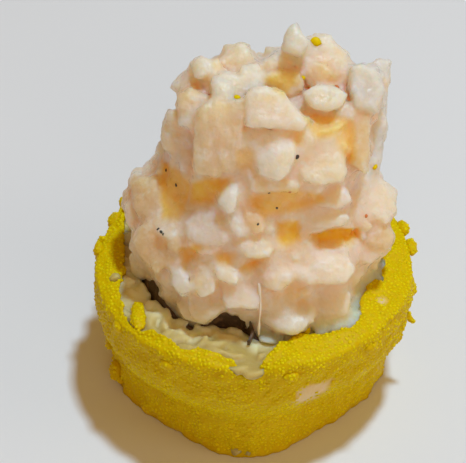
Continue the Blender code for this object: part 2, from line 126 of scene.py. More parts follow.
# Pieces that show from the front: how far their face is turned up and to the right of the line of sight
# (degrees), how far it stands out of the heap and how thick they are (mm), corners in photo pixels
# Pieces with the golden tint carry painted shade and painted yellow light from the roe.
CHUNKS = (
    Chunk("tan", -16, -10, 0.7, 4.5, (
        (197, 112), (212, 101), (241, 101), (242, 112), (236, 150), (230, 172), (212, 177), (196, 170),
        (194, 150))),
    Chunk("grey", 12, 0, 1.2, 4.0, (
        (213, 84), (219, 77), (229, 79), (234, 88), (232, 98), (222, 101), (213, 97))),
    Chunk("pale", 8, -28, 0.3, 4.0, (
        (171, 88), (180, 76), (190, 66), (201, 69), (201, 86), (197, 95), (183, 98))),
    Chunk("white", 12, -14, 0.8, 4.0, (
        (178, 99), (190, 97), (198, 104), (198, 116), (190, 127), (180, 124))),
    Chunk("cream", -22, -28, 0.2, 4.0, (
        (168, 110), (177, 112), (179, 126), (190, 130), (193, 147), (180, 152), (163, 148), (163, 130))),
    Chunk("pale", 22, -12, 0.3, 4.0, ((189, 64), (198, 56), (212, 59), (214, 72), (203, 78), (192, 75))),
    Chunk("peach", 12, 0, 0.4, 4.0, ((203, 63), (219, 57), (223, 70), (216, 79), (205, 80))),
    Chunk("cream", 4, -6, 0.4, 5.0, (
        (221, 58), (225, 46), (237, 43), (248, 46), (252, 57), (247, 72), (232, 77))),
    Chunk("pale", 16, 10, 0.5, 4.0, ((243, 66), (256, 62), (264, 74), (263, 88), (249, 93), (238, 86))),
    Chunk("pink", 10, 4, 0.9, 3.6, (
        (242, 112), (245, 98), (254, 89), (268, 87), (282, 93), (295, 106), (309, 124), (300, 129),
        (262, 127), (244, 123))),
    Chunk("white", 8, -14, 0.6, 4.2, (
        (248, 137), (262, 131), (284, 134), (293, 143), (296, 156), (291, 172), (278, 180), (260, 173),
        (252, 155))),
    Chunk("grey", -6, -18, 0.7, 6.0, (
        (263, 62), (273, 53), (284, 47), (302, 37), (312, 48), (313, 63), (302, 71), (284, 72),
        (268, 71))),
    Chunk("grey", 0, -10, 0.3, 4.4, ((283, 50), (288, 30), (295, 22), (301, 31), (308, 46), (298, 56))),
    Chunk("peach", -14, 0, -3.0, 6.0, (
        (262, 72), (280, 68), (300, 72), (302, 86), (296, 96), (284, 100), (268, 92))),
    Chunk("pale", 0, 0, 0.0, 5.0, (
        (214, 76), (226, 72), (240, 76), (244, 92), (238, 104), (226, 98), (216, 90))),
    Chunk("pale", 10, 14, 0.7, 6.0, (
        (303, 38), (317, 33), (329, 36), (339, 46), (348, 56), (350, 73), (342, 89), (322, 90), (307, 84),
        (304, 60))),
    Chunk("pale", 4, 4, -0.6, 5.0, (
        (304, 93), (318, 85), (336, 86), (346, 94), (341, 105), (326, 111), (310, 106))),
    Chunk("glassy", 6, 16, 0.5, 4.8, (
        (350, 66), (362, 64), (378, 67), (384, 88), (378, 112), (356, 110), (351, 88))),
    Chunk("glassy", 2, 20, 0.9, 4.4, (
        (364, 68), (378, 60), (390, 61), (389, 84), (386, 106), (372, 109), (364, 92))),
    Chunk("glassy", -4, 22, 0.6, 5.0, (
        (366, 104), (377, 108), (387, 103), (384, 128), (385, 142), (379, 156), (378, 172), (368, 180),
        (364, 150))),
    Chunk("golden", -10, 10, 0.1, 5.0, (
        (344, 108), (358, 104), (370, 112), (370, 150), (368, 172), (352, 164), (346, 140))),
    Chunk("cream", 10, 4, 0.8, 4.4, (
        (300, 152), (315, 144), (331, 143), (339, 151), (348, 168), (341, 180), (322, 186), (302, 180))),
    Chunk("pale", 14, 22, 0.5, 5.0, (
        (348, 172), (368, 181), (380, 177), (395, 190), (397, 214), (386, 224), (368, 213), (352, 201))),
    Chunk("pink", 14, 6, 0.6, 4.0, (
        (300, 189), (320, 185), (346, 187), (353, 200), (341, 208), (317, 205))),
    Chunk("golden", 2, 24, 0.6, 4.4, (
        (351, 220), (361, 210), (374, 212), (386, 221), (395, 234), (390, 250), (372, 246))),
    Chunk("pink", 6, 16, 0.8, 4.4, (
        (352, 248), (366, 241), (384, 238), (388, 248), (380, 257), (370, 264), (358, 261))),
    Chunk("pink", 18, 4, 1.1, 5.0, (
        (282, 263), (295, 252), (313, 251), (331, 253), (349, 259), (353, 272), (346, 283), (312, 284),
        (290, 274))),
    Chunk("cream", -12, 10, 0.9, 5.0, (
        (308, 283), (330, 279), (349, 285), (352, 300), (346, 317), (329, 318), (313, 313), (307, 298))),
    Chunk("pale", 14, -6, 2.0, 5.0, (
        (260, 306), (275, 299), (287, 303), (301, 311), (310, 321), (305, 333), (292, 336), (277, 331),
        (262, 320))),
    Chunk("white", 8, -12, 1.1, 3.2, (
        (218, 202), (226, 191), (234, 184), (241, 182), (240, 192), (236, 208), (228, 214))),
    Chunk("white", 14, 2, 1.0, 3.4, (
        (222, 208), (236, 204), (243, 219), (248, 232), (240, 238), (229, 229))),
    Chunk("mauve", 2, -12, 0.7, 4.0, (
        (184, 223), (199, 212), (216, 208), (228, 222), (231, 240), (216, 247), (198, 241), (188, 235))),
    Chunk("pale", 20, -12, 0.6, 3.0, (
        (157, 227), (170, 222), (186, 226), (184, 235), (170, 238), (160, 234))),
    Chunk("golden", 2, -32, 0.6, 4.0, (
        (131, 182), (140, 177), (156, 178), (158, 196), (155, 219), (146, 226), (138, 216), (133, 200))),
    Chunk("golden", -8, -28, 0.7, 4.4, (
        (134, 240), (138, 228), (149, 221), (159, 229), (169, 240), (170, 252), (165, 264), (157, 273),
        (146, 266))),
    Chunk("golden", 0, -40, 0.2, 3.4, (
        (123, 193), (132, 185), (136, 203), (141, 222), (130, 216), (123, 206))),
    Chunk("white", 8, -20, 1.3, 2.6, (
        (165, 253), (173, 249), (181, 265), (188, 280), (190, 290), (182, 295), (174, 287))),
    Chunk("peach", 6, -30, 0.7, 3.4, (
        (117, 208), (124, 202), (131, 214), (139, 226), (130, 233), (121, 222))),
    Chunk("peach", 0, -30, 0.7, 3.0, ((121, 232), (130, 231), (135, 239), (129, 248), (122, 242))),
    Chunk("cream", -5, -15, 0.8, 4.4, (
        (191, 287), (195, 270), (203, 258), (214, 262), (218, 276), (213, 292), (202, 298))),
    Chunk("pink", 2, 2, 1.0, 4.4, (
        (221, 286), (238, 279), (250, 284), (260, 294), (257, 309), (244, 309), (228, 309))),
    Chunk("cream", -8, -12, 1.1, 5.0, (
        (188, 292), (204, 291), (221, 296), (227, 308), (215, 317), (201, 322), (191, 315))),
    Chunk("pale", 24, -6, 1.2, 2.8, (
        (214, 271), (224, 266), (234, 266), (239, 277), (236, 285), (221, 282))),
    Chunk("pale", 10, -18, 1.4, 4.0, (
        (180, 304), (190, 298), (203, 301), (209, 312), (200, 321), (187, 318))),
    Chunk("cream", 6, -14, 2.2, 4.0, (
        (174, 302), (196, 306), (211, 311), (214, 320), (200, 324), (184, 319))),
    Chunk("rice", 20, 20, 1.0, 4.0, (
        (346, 300), (351, 276), (362, 262), (370, 268), (367, 290), (362, 316), (350, 324))),
    Chunk("rice", 36, 16, 1.2, 4.0, (
        (364, 268), (372, 258), (385, 258), (389, 272), (384, 290), (374, 300), (364, 296))),
    Chunk("rice", 36, 0, 0.0, 3.4, (
        (259, 335), (268, 333), (281, 336), (287, 341), (276, 344), (262, 342))),
    Chunk("rice", 28, 10, 1.6, 4.0, (
        (309, 320), (330, 317), (348, 315), (362, 312), (360, 322), (346, 331), (318, 335))),
    Chunk("cream", 14, 0, 0.4, 4.0, (
        (237, 247), (242, 236), (253, 231), (265, 238), (273, 249), (268, 258), (246, 258))),
    Chunk("pale", 10, 2, 0.7, 4.0, (
        (300, 214), (318, 206), (338, 209), (350, 218), (343, 227), (322, 228), (303, 227))),
    Chunk("peach", -14, 0, -2.0, 4.0, (
        (270, 219), (283, 215), (301, 221), (302, 240), (290, 252), (275, 250), (268, 236))),
    Chunk("cream", -8, 0, 0.4, 4.0, (
        (246, 177), (262, 172), (282, 180), (299, 184), (296, 193), (272, 193), (250, 191))),
    Chunk("pink", 4, -4, 0.9, 4.0, (
        (258, 277), (263, 263), (281, 262), (291, 272), (292, 283), (280, 292), (266, 288))),
    Chunk("golden", -4, -16, 0.6, 4.0, ((160, 237), (176, 236), (186, 245), (180, 254), (170, 250))),
    Chunk("peach", -6, -4, 0.3, 4.0, (
        (243, 196), (252, 200), (262, 214), (264, 230), (252, 234), (245, 220))),
    Chunk("cream", 6, 0, 0.7, 4.0, (
        (290, 306), (303, 286), (312, 300), (316, 314), (312, 324), (302, 318))),
    Chunk("pink", -6, -8, 0.7, 4.0, (
        (186, 240), (206, 244), (222, 250), (214, 256), (198, 254), (190, 250))),
)

# Share of the pieces' given standing out that is used, and the tint of the fibrous one
CHUNK_OUT = 0.55
FIBROUS = "tan"
# Its fibres: width (mm), depth as a share, which also sets their painted light and shade
FIBRES = ((2.1, 0.6), (0.83, 0.5))

# The rest of the heap: rows of pieces round the back (mm over the cut face), pieces behind the crown (their
# places in mm) and small bits all over, each with the ranges of its three sizes in millimetres
BACK_ROWS = (3.5, 10.0, 16.5, 22.5, 28.0)
BACK_START = -22.0
BACK_SWEEP = 224.0
BACK_SPACING = 6.2 * MM
BACK_TINTS = ("pale", "cream", "white", "pink", "cream", "peach", "mauve")
BACK_SIZE = ((4.4, 7.8), (4.0, 5.4), (4.0, 7.6))
CROWN_SIZE = ((5.0, 7.0), (4.6, 5.6), (4.0, 5.2))
CROWN_SPOTS = (
    (-6.4, 5.0, 30.5),
    (-1.6, 6.0, 31.0),
    (3.4, 7.0, 30.6),
    (8.6, 6.4, 30.8),
    (12.8, 4.0, 29.6),
    (3.0, 3.4, 32.0),
    (9.0, 2.6, 32.0),
    (-5.4, 1.6, 31.0),
)
SMALL_BITS = 230
SMALL_BIT_SIZE = ((1.4, 3.8), (1.1, 2.4), (1.1, 2.2))
FILLING_BITS = 60
FILLING_BIT_SIZE = ((2.4, 4.6), (2.2, 3.6), (2.4, 4.0))
FILLING_REACH = 13.6 * MM

# How the skin of the heap and of the rice is worked.
# Creases between pieces: rounds of evening that find them, depth that stays, share of the rest that is filled
HEAP_CREASES = (70, 0.1 * MM, 0.8)
FINE_CREASES = (20, 0.0, 0.6)
RICE_CREASES = (30, 0.05 * MM, 0.3)
# Warps and layers of bumps: size, depth (mm)
HEAP_WARPS = ((3.2, 0.45), (1.3, 0.12))
HEAP_BUMPS = ((2.2, 0.18), (1.1, 0.14), (0.6, 0.12))
BED_BUMPS = ((1.9, 0.42), (4.5, 0.3), (0.9, 0.2))
LAP_BUMPS = ((1.6, 0.4), (0.8, 0.15))

# Hollows, where a painted amber glow stands in for light that comes through the sauce: strength of the
# painted glow, depth (mm), corners in photo pixels
Hollow = namedtuple("Hollow", "strength depth outline")
HOLLOWS = (
    Hollow(1.0, 2.1, (
        (306, 233), (316, 228), (335, 229), (350, 225), (359, 230), (360, 240), (348, 246), (318, 249))),
    Hollow(0.75, 0.8, (
        (159, 178), (162, 158), (182, 160), (190, 180), (198, 186), (186, 211), (178, 221), (160, 221))),
    Hollow(0.85, 0.9, ((190, 184), (206, 178), (230, 179), (228, 187), (214, 204), (188, 206))),
    Hollow(0.8, 0.9, ((179, 250), (196, 244), (208, 248), (199, 256), (194, 275), (189, 286), (184, 270))),
    Hollow(0.7, 0.5, ((213, 254), (226, 251), (235, 256), (231, 266), (219, 266))),
    Hollow(0.8, 0.8, ((237, 278), (241, 266), (252, 258), (276, 259), (272, 266), (255, 269), (245, 278))),
    Hollow(0.6, 0.1, ((263, 79), (280, 71), (299, 73), (296, 86), (284, 99), (272, 90))),
    Hollow(0.65, 0.6, (
        (301, 109), (315, 112), (340, 110), (352, 118), (352, 135), (330, 139), (318, 143), (309, 130))),
    Hollow(0.6, 0.5, ((334, 136), (354, 120), (356, 158), (350, 166), (341, 155))),
    Hollow(0.5, 0.4, ((236, 154), (246, 146), (256, 152), (254, 170), (242, 176), (236, 168))),
    Hollow(0.5, 0.3, ((293, 131), (303, 133), (303, 147), (294, 148))),
    Hollow(0.7, 0.4, (
        (250, 196), (270, 190), (300, 190), (326, 194), (324, 204), (296, 212), (264, 216), (252, 208))),
    Hollow(0.35, 0.5, ((280, 286), (292, 280), (306, 286), (308, 304), (298, 311), (286, 302))),
    Hollow(0.95, 0.9, ((276, 222), (300, 220), (300, 240), (284, 248), (276, 240))),
)

# Specks on the heap: photo pixel and width in millimetres
DARK_SPECKS = (
    ((297, 157), 0.75),
    ((176, 185), 0.5),
    ((269, 193), 0.4),
    ((277, 208), 0.4),
    ((258, 224), 0.4),
    ((166, 170), 0.5),
    ((158, 229), 0.55),
    ((161, 232), 0.55),
    ((163, 234), 0.4),
)
RED_SPECKS = (
    ((366, 216), 0.6),
    ((337, 87), 0.9),
    ((290, 192), 0.5),
)
STRAY_ROE = (
    ((237, 98), 1.1),
    ((316, 42), 1.6),
    ((375, 167), 0.9),
    ((303, 78), 0.8),
)
STRAY_RICE = (((115, 278), 1.7),)
STRAND_TOP = (259, 283)
STRAND_END = Vector((0.7, -16.4, 0.6)) * MM
STRAND_THICKNESS = 0.28 * MM
STRAND_STEPS = 20
STRAND_SIDES = 8

# Larger clumps of roe: angle, height (mm), how far they stand out (mm), width (mm)
ROE_CLUMPS = (
    (147, 22.4, 0.5, 2.6),
    (156, 21.8, 0.4, 2.4),
    (171, 19.6, 0.3, 2.6),
    (193, 1.4, 0.2, 2.8),
    (213, 20.8, 0.2, 2.2),
    (238, 20.4, 0.2, 2.4),
    (283, 20.6, 0.2, 2.4),
    (316, 20.4, 0.3, 2.6),
    (341, 13.4, 0.2, 2.6),
    (352, 19.2, 0.4, 2.8),
    (8, 21.6, 1.0, 3.2),
    (17, 22.2, 0.8, 2.8),
    (38, 21.6, 0.3, 2.4),
    (74, 21.2, 0.3, 2.6),
    (110, 21.8, 0.3, 2.4),
)
# How far the roe reaches inward over the rice on the cut face: angle, reach (mm)
ROE_REACH = (
    (0, 5.0), (6, 2.2), (20, 1.5), (60, 1.3), (100, 1.2), (140, 1.3), (152, 1.0), (158, 1.4), (167, 2.8),
    (176, 3.7), (188, 4.0), (196, 2.8), (205, 1.9), (213, 0.7), (221, 0.4), (226, 1.6), (236, 2.2),
    (241, 1.0), (246, 1.5), (251, 2.2), (257, 1.8), (261, 1.2), (265, 0.2), (270, 0.2), (273, 1.0),
    (276, 2.5), (281, 4.0), (288, 5.0), (292, 5.2), (296, 4.4), (303, 3.5), (310, 2.9), (318, 2.8),
    (326, 4.6), (332, 5.4), (343, 6.2), (354, 6.0), (360, 5.0),
)
# How far the lap lies over the cut face, how round the rim is, how far the bed lies under the outside
ROE_LIP = 0.6 * MM
RIM_ROUNDING = 0.9 * MM
BED_SUNK = 0.15 * MM
# How far the grains sink into the bed, the height under which none lie, and the share that bare spots lose
GRAIN_SINK = 0.18 * MM
LOWEST_GRAIN = 0.95 * MM
BARE_LOSS = 0.97
# Grains to the square metre before their spacing thins them, their least and most width as a share
ROE_DENSITY = 1.4e7
GRAIN_WIDTHS = (0.65, 1.3)
LEAST_GRAIN_FACES = 1000
# Where the rice is painted pale all the way out to the roe, as painted light at the left, and where it is
# yellow all the way in to the seaweed
PAINTED_LIGHT_RICE_ANGLE = 196.0
PAINTED_LIGHT_RICE_WIDTH = 26.0
PAINTED_LIGHT_RICE_SHARE = 0.4
YELLOW_RICE_ANGLE = 318.0
YELLOW_RICE_WIDTH = 28.0
YELLOW_RICE_SHARE = 0.7
# Rings of rice grains: place between the seaweed and the roe, how many, how far they turn (degrees)
RICE_LANES = ((0.14, 42, 35.0), (0.36, 46, 90.0), (0.56, 50, 90.0), (0.76, 54, 90.0), (0.94, 60, 35.0))
RICE_STEPS = 96
# Patches of roe on the rice: photo pixel, length, width (mm), turn (degrees)
ROE_PATCHES = (
    ((138, 316), 5.6, 2.2, 94),
    ((327, 321), 2.0, 1.4, 0),
    ((369, 300), 1.9, 2.4, 80),
    ((306, 330), 1.4, 1.2, 40),
)
# Lumps that stand out of the roe: angle, height, how far out, length, width (mm), turn in the view (degrees)
ROE_LUMPS = (
    (352, 13.4, 0.6, 2.8, 1.1, -42),
    (192, 2.6, 0.2, 3.0, 2.2, 80),
    (182, 5.4, 0.1, 2.6, 1.8, 80),
    (158, 22.3, -0.5, 2.4, 1.5, 60),
    (168, 21.6, -0.3, 2.0, 1.5, 40),
    (175, 22.2, -0.4, 2.4, 1.4, 90),
)
# How many points the roe has round the roll and up its side
ROE_STEPS = 288
ROE_ROWS = 40
# Places where rice shows through the roe: photo pixel, half width and height (pixels), turn (degrees)
BARE_SPOTS = (
    ((311, 394), (20.0, 7.5), 28.0),
    ((382, 299), (5.0, 4.0), 0.0),
)

# The photo: its size, and the pixel at which it shows a place of the cut face
PHOTO_SIZE = (466, 463)
FACE_PIXEL = (254.0, 255.0)
FACE_SPOT = Vector((0.9, -0.1)) * MM
# Soft edge of an outline that the photo shows: how far out it starts and how wide it is (pixels)
OUTLINE_START = 2.5
OUTLINE_FADE = 6.5

# The stage: what the lights face, the floor, and each light's place from there and its size, in metres
STAGE_MIDDLE = Vector((0.0, 0.0, 0.03))
FLOOR_SIZE = 0.9
FLOOR_DROP = 0.05 * MM
LIGHTS = (
    ("key", (0.165, 0.01, 0.90), 0.08),
    ("fill", (0.22, -0.88, 0.42), 0.7),
    ("side", (0.84, -0.30, 0.36), 0.4),
)


def length_property(name, description, default):
    """A length that a user can change."""
    return FloatProperty(name=name, description=description, default=default, unit="LENGTH")


class RollSizes(bpy.types.PropertyGroup):
    """Sizes of the roll and of what it is made of."""

    roll_height: length_property("Roll Height", "Height of the cut face over the base", 22.5 * MM)
    top_radius: length_property("Top Radius", "Radius of the roll at its upper cut face", 23.1 * MM)
    base_radius: length_property("Base Radius", "Radius of the roll where it stands", 19.2 * MM)
    roe_thickness: length_property("Roe Thickness", "Thickness of the coat of roe", 1.4 * MM)
    roe_grain: length_property("Roe Grain", "Width of one grain of roe", 0.68 * MM)
    roe_spacing: length_property("Roe Spacing", "Smallest distance between two grains' middles", 0.505 * MM)
    nori_radius: length_property("Seaweed Radius", "Outer radius of the seaweed ring", 16.3 * MM)
    nori_thickness: length_property("Seaweed Thickness", "Thickness of the moist seaweed", 0.62 * MM)
    rice_length: length_property("Rice Length", "Length of a cooked grain of rice", 4.4 * MM)
    rice_width: length_property("Rice Width", "Width of a cooked grain of rice", 1.8 * MM)
    heap_voxel: length_property("Heap Detail", "Finest step of the heap's surface", 0.3 * MM)
    rice_voxel: length_property("Rice Detail", "Finest step of the rice's surface", 0.32 * MM)
    seed: IntProperty(name="Seed", description="Start of the random draws", default=SEED, min=0)


def colour_property(name, description, default):
    """A linear colour that a user can change."""
    return FloatVectorProperty(
        name=name, description=description, default=default, subtype="COLOR", size=3, min=0.0, max=1.0)


class FoodColours(bpy.types.PropertyGroup):
    """Colours of the food, linear."""

    roe_bright: colour_property("Roe Bright", "Lightest grains of roe", (0.86, 0.655, 0.0))
    roe_deep: colour_property("Roe Deep", "Darkest grains of roe", (0.72, 0.50, 0.0))
    roe_bed: colour_property("Roe Bed", "What shows between the grains", (0.68, 0.45, 0.0))
    rice_outer: colour_property("Rice Outer", "Rice beside the roe", (0.53, 0.39, 0.11))
    # Painted light: the rice beside the seaweed is made paler where the heap shades it
    rice_inner_painted_light: colour_property("Rice Inner", "Rice beside the seaweed", (0.95, 0.87, 0.51))
    nori: colour_property("Seaweed", "Dark moist seaweed", (0.062, 0.036, 0.022))
    # Painted light and sheen: lighter brown patches, spread at random, on the moist seaweed
    nori_painted_sheen: colour_property("Seaweed Light", "Worn places of the seaweed", (0.24, 0.14, 0.075))
    white: colour_property("White Seafood", "Whitest chunks", (0.86, 0.745, 0.605))
    pale: colour_property("Pale Seafood", "Pale chunks in sauce", (0.85, 0.69, 0.52))
    cream: colour_property("Sauce", "Creamy sauce", (0.85, 0.67, 0.47))
    pink: colour_property("Pink Sauce", "Pinkish sauce", (0.87, 0.67, 0.51))
    peach: colour_property("Peach Sauce", "Sauce beside the roe", (0.86, 0.57, 0.32))
    tan: colour_property("Crab Stick", "Fibrous chunk", (0.83, 0.62, 0.39))
    grey: colour_property("Grey Seafood", "Greyish see-through chunks", (0.76, 0.70, 0.58))
    mauve: colour_property("Mauve Sauce", "Sauce on shaded pieces", (0.80, 0.65, 0.53))
    rice: colour_property("Sauced Rice", "Rice under a thin sauce", (0.93, 0.78, 0.46))
    glassy: colour_property("Glassy Seafood", "See-through greyish chunk", (0.69, 0.64, 0.56))
    # Painted shade and painted yellow light from the roe: a darker, yellower copy of the sauce for pieces at
    # the heap's sides
    golden: colour_property("Golden Sauce", "Sauce that the roe's yellow shines through", (0.76, 0.53, 0.29))
    # Painted glow: amber that stands in for light coming through the sauce in the hollows and creases
    painted_glow_amber: colour_property("Amber", "Light through the sauce in the hollows", (0.93, 0.55, 0.01))
    bare_rice: colour_property("Bare Rice", "Rice in the gaps of the roe", (0.80, 0.60, 0.30))
    # Painted light on the raised sides of the rice grains
    rice_raised_painted_light: colour_property("Rice Light", "Raised sides of the rice grains", (0.74, 0.62, 0.34))
    warm_patch: colour_property("Warm Patch", "Warm patches of the heap", (0.93, 0.64, 0.30))
    cool_patch: colour_property("Cool Patch", "Pale patches of the heap", (0.84, 0.77, 0.70))
    fine_mottle: colour_property("Fine Mottle", "Fine mottling of the heap", (0.90, 0.78, 0.64))
    speck_dark: colour_property("Dark Speck", "Pepper specks", (0.030, 0.022, 0.016))
    speck_red: colour_property("Red Speck", "Spice specks", (0.45, 0.12, 0.02))


class StudioLook(bpy.types.PropertyGroup):
    """Light, floor and camera."""

    key_colour: colour_property("Key Colour", "Cool light from above right", (0.578, 0.798, 1.0))
    key_power: FloatProperty(name="Key Power", description="Watts of the key light", default=6.5)
    fill_colour: colour_property("Fill Colour", "Soft light from the front", (1.0, 0.88, 0.74))
    fill_power: FloatProperty(name="Fill Power", description="Watts of the fill light", default=1.4)
    side_colour: colour_property("Side Colour", "Warm light from the right", (1.0, 0.86, 0.68))
    side_power: FloatProperty(name="Side Power", description="Watts of the side light", default=1.0)
    ambient_colour: colour_property("Ambient", "Warm light of the room", (0.325, 0.19, 0.068))
    ambient_strength: FloatProperty(
        name="Ambient Strength", description="Strength of the room's light", default=1.0)
    floor_colour: colour_property("Floor", "Pale floor", (0.80, 0.80, 0.80))
    camera_elevation: FloatProperty(
        name="Camera Elevation", description="Angle of the camera over the horizon",
        default=math.radians(42.5), subtype="ANGLE", unit="ROTATION")
    camera_distance: FloatProperty(
        name="Camera Distance", description="Distance of the camera from the cut face",
        default=0.300, unit="LENGTH")
    pixels_per_mm: FloatProperty(
        name="Photo Scale", description="Photo pixels to the millimetre at the cut face", default=6.83)


# Forms of the roll


def angle_between(first, second):
    """Smallest difference of two angles in degrees."""
    return (first - second + 180.0) % 360.0 - 180.0


def bell(value, width):
    """Smooth hump: 1 at zero, near 0 past twice the width."""
    return math.exp(-((value / width) ** 2))


def smooth_rise(value):
    """Ease from 0 to 1."""
    value = min(max(value, 0.0), 1.0)
    return value * value * (3.0 - 2.0 * value)


def relief(point, size, depth):
    """Smooth bumps of about a size, between minus and plus a depth."""
    return depth * noise.noise(point / size)


def layered(point, layers):
    """Layers of bumps, each with its size and depth in millimetres."""
    return sum(relief(point, size * MM, depth * MM) for size, depth in layers)


def hump(angle, middle, width):
    """Smooth hump round an angle, all in degrees."""
    return bell(angle_between(angle, middle), width)


def notch(angle):
    """How far an angle is inside the notch of the rim, from 0 to 1."""
    return hump(angle, NOTCH_ANGLE, NOTCH_WIDTH)


def bare_edge(angle):
    """How far an angle is where the seaweed's edge shows at the left, from 0 to 1."""
    return hump(angle, SHOWN_EDGE_ANGLE, SHOWN_EDGE_WIDTH)


def axis_shift(sizes, height):
    """Middle of the roll at a height: it leans a little to +X."""
    return TOP_SHIFT * (height / sizes.roll_height)


def body_radius(sizes, angle, height):
    """Outer radius of the roe, without its grains, at an angle in degrees and a height."""
    rise = height / sizes.roll_height
    swell = smooth_rise((rise - SWELL_START) / (SWELL_END - SWELL_START))
    radius = sizes.base_radius + (sizes.top_radius - sizes.base_radius) * swell
    turn = math.radians(angle)
    radius += BASE_OVAL * math.cos(2 * turn) * (1.0 - OVAL_LOST * swell)
    radius += BASE_SQUARE * math.cos(4 * turn) * (1.0 - swell)
    for depth, waves, phase, twist in SIDE_WAVES:
        radius += depth * MM * math.sin(waves * turn + phase + twist * rise)
    return radius


def rim_height(sizes, angle):
    """Height of the roe's rim: it dips at the front, where rice shows over the wall."""
    turn = math.radians(angle)
    swell = RIM_SWELL_HEIGHT * hump(angle, RIM_SWELL_ANGLE, RIM_SWELL_WIDTH)
    wave = sum(height * math.sin(waves * turn + phase) for height, waves, phase in RIM_WAVES)
    return sizes.roll_height + (wave + swell - NOTCH_DEPTH * notch(angle)) * MM


def pocket(angle):
    """How far an angle is inside the pocket at the front, from 0 to 1."""
    return math.exp(-((angle_between(angle, POCKET_ANGLE) / POCKET_WIDTH) ** 4))


def nori_radius(sizes, angle):
    """Outer radius of the seaweed: a round sheet that bends inward at the pocket."""
    turn = math.radians(angle)
    return sizes.nori_radius + 0.15 * MM * math.sin(2 * turn + 0.8) - POCKET_DENT * pocket(angle)


def edge_shown(angle):
    """How far the seaweed's edge is bare of rice and seafood at an angle, from 0 to 1."""
    return max(pocket(angle), bare_edge(angle))


def nori_top(sizes, angle):
    """Height of the seaweed's edge: it stands up where it is bare and lies under the rice elsewhere."""
    proud = -NORI_SUNK + NORI_POCKET_RISE * smooth_rise(1.6 * pocket(angle))
    proud += NORI_EDGE_RISE * bare_edge(angle)
    crinkle = relief(Vector((math.radians(angle) * 14.0, 5.0, 0.0)), 1.0, 0.3 * MM)
    return sizes.roll_height + proud * MM + crinkle


def roe_reach(angle):
    """How far the roe reaches inward over the rice at an angle."""
    angles, reaches = zip(*ROE_REACH)
    return float(np.interp(angle % 360.0, angles, reaches)) * MM


def on_circle(sizes, angle, radius, height):
    """Point at an angle and radius round the roll's leaning axis."""
    shift = axis_shift(sizes, height)
    turn = math.radians(angle)
    return Vector((shift.x + radius * math.cos(turn), shift.y + radius * math.sin(turn), height))


def from_axis(sizes, row):
    """Shift of the leaning axis at a point's height, the way out from it to the point, and its angle."""
    shift = axis_shift(sizes, row[2])
    away = Vector((row[0] - shift.x, row[1] - shift.y))
    return shift, away, math.degrees(math.atan2(away.y, away.x)) % 360.0


def turned_ring(sizes, profile_at, steps):
    """Closed ring through the profile points that profile_at(angle) gives at each angle."""
    shell = bmesh.new()
    loops = []
    for index in range(steps):
        angle = 360.0 * index / steps
        loops.append([shell.verts.new(on_circle(sizes, angle, *spot)) for spot in profile_at(angle)])
    for index, near in enumerate(loops):
        far = loops[(index + 1) % steps]
        for spot, _ in enumerate(near):
            following = (spot + 1) % len(near)
            shell.faces.new((near[spot], far[spot], far[following], near[following]))
    bmesh.ops.recalc_face_normals(shell, faces=shell.faces)
    return shell


def heap_section(height):
    """Middle across, half width and half depth of the heap at a height over the cut face."""
    rows = np.array(HEAP_PROFILE) * MM
    return tuple(float(np.interp(height, rows[:, 0], rows[:, column])) for column in (1, 2, 3))


def heap_point(sizes, angle, height, out=0.0):
    """Point on the heap's outline at an angle in degrees, a height over the cut face and a distance out."""
    middle, half_width, half_depth = heap_section(height)
    turn = math.radians(angle)
    return Vector((
        TOP_SHIFT.x + middle + (half_width + out) * math.cos(turn),
        TOP_SHIFT.y + HEAP_MIDDLE_DEPTH + (half_depth + out) * math.sin(turn),
        sizes.roll_height + height,
    ))


# Mesh tools


def object_from(name, body, material=None):
    """Turn a bmesh into a named object at the origin, with smooth faces."""
    mesh = bpy.data.meshes.new(name)
    body.to_mesh(mesh)
    body.free()
    mesh.shade_smooth()
    if material:
        mesh.materials.append(material)
    thing = bpy.data.objects.new(name, mesh)
    bpy.context.scene.collection.objects.link(thing)
    return thing


def join_bodies(target, source):
    """Copy one bmesh's faces into another and free it."""
    made = [target.verts.new(vert.co) for vert in source.verts]
    source.verts.index_update()
    for face in source.faces:
        target.faces.new([made[vert.index] for vert in face.verts])
    source.free()


def evaluated_copy(thing):
    """Mesh of an object as its modifiers leave it."""
    bpy.context.view_layer.update()
    evaluated = thing.evaluated_get(bpy.context.evaluated_depsgraph_get())
    return bpy.data.meshes.new_from_object(evaluated)


def melt_together(thing, voxel):
    """Make one closed skin round all the bodies in an object's mesh."""
    remesh = thing.modifiers.new("Melt", "REMESH")
    remesh.mode = "VOXEL"
    remesh.voxel_size = voxel
    remesh.use_smooth_shade = True
    joined = evaluated_copy(thing)
    thing.modifiers.remove(remesh)
    thing.data = joined


def read_points(mesh):
    """Vertex places of a mesh as an array of rows."""
    flat = np.empty(len(mesh.vertices) * 3)
    mesh.vertices.foreach_get("co", flat)
    return flat.reshape(-1, 3)


def write_points(mesh, points):
    """Put an array of rows back as a mesh's vertex places."""
    mesh.vertices.foreach_set("co", points.ravel())
    mesh.update()


def read_normals(mesh):
    """Vertex normals of a mesh as an array of rows."""
    flat = np.empty(len(mesh.vertices) * 3)
    mesh.vertex_normals.foreach_get("vector", flat)
    return flat.reshape(-1, 3)


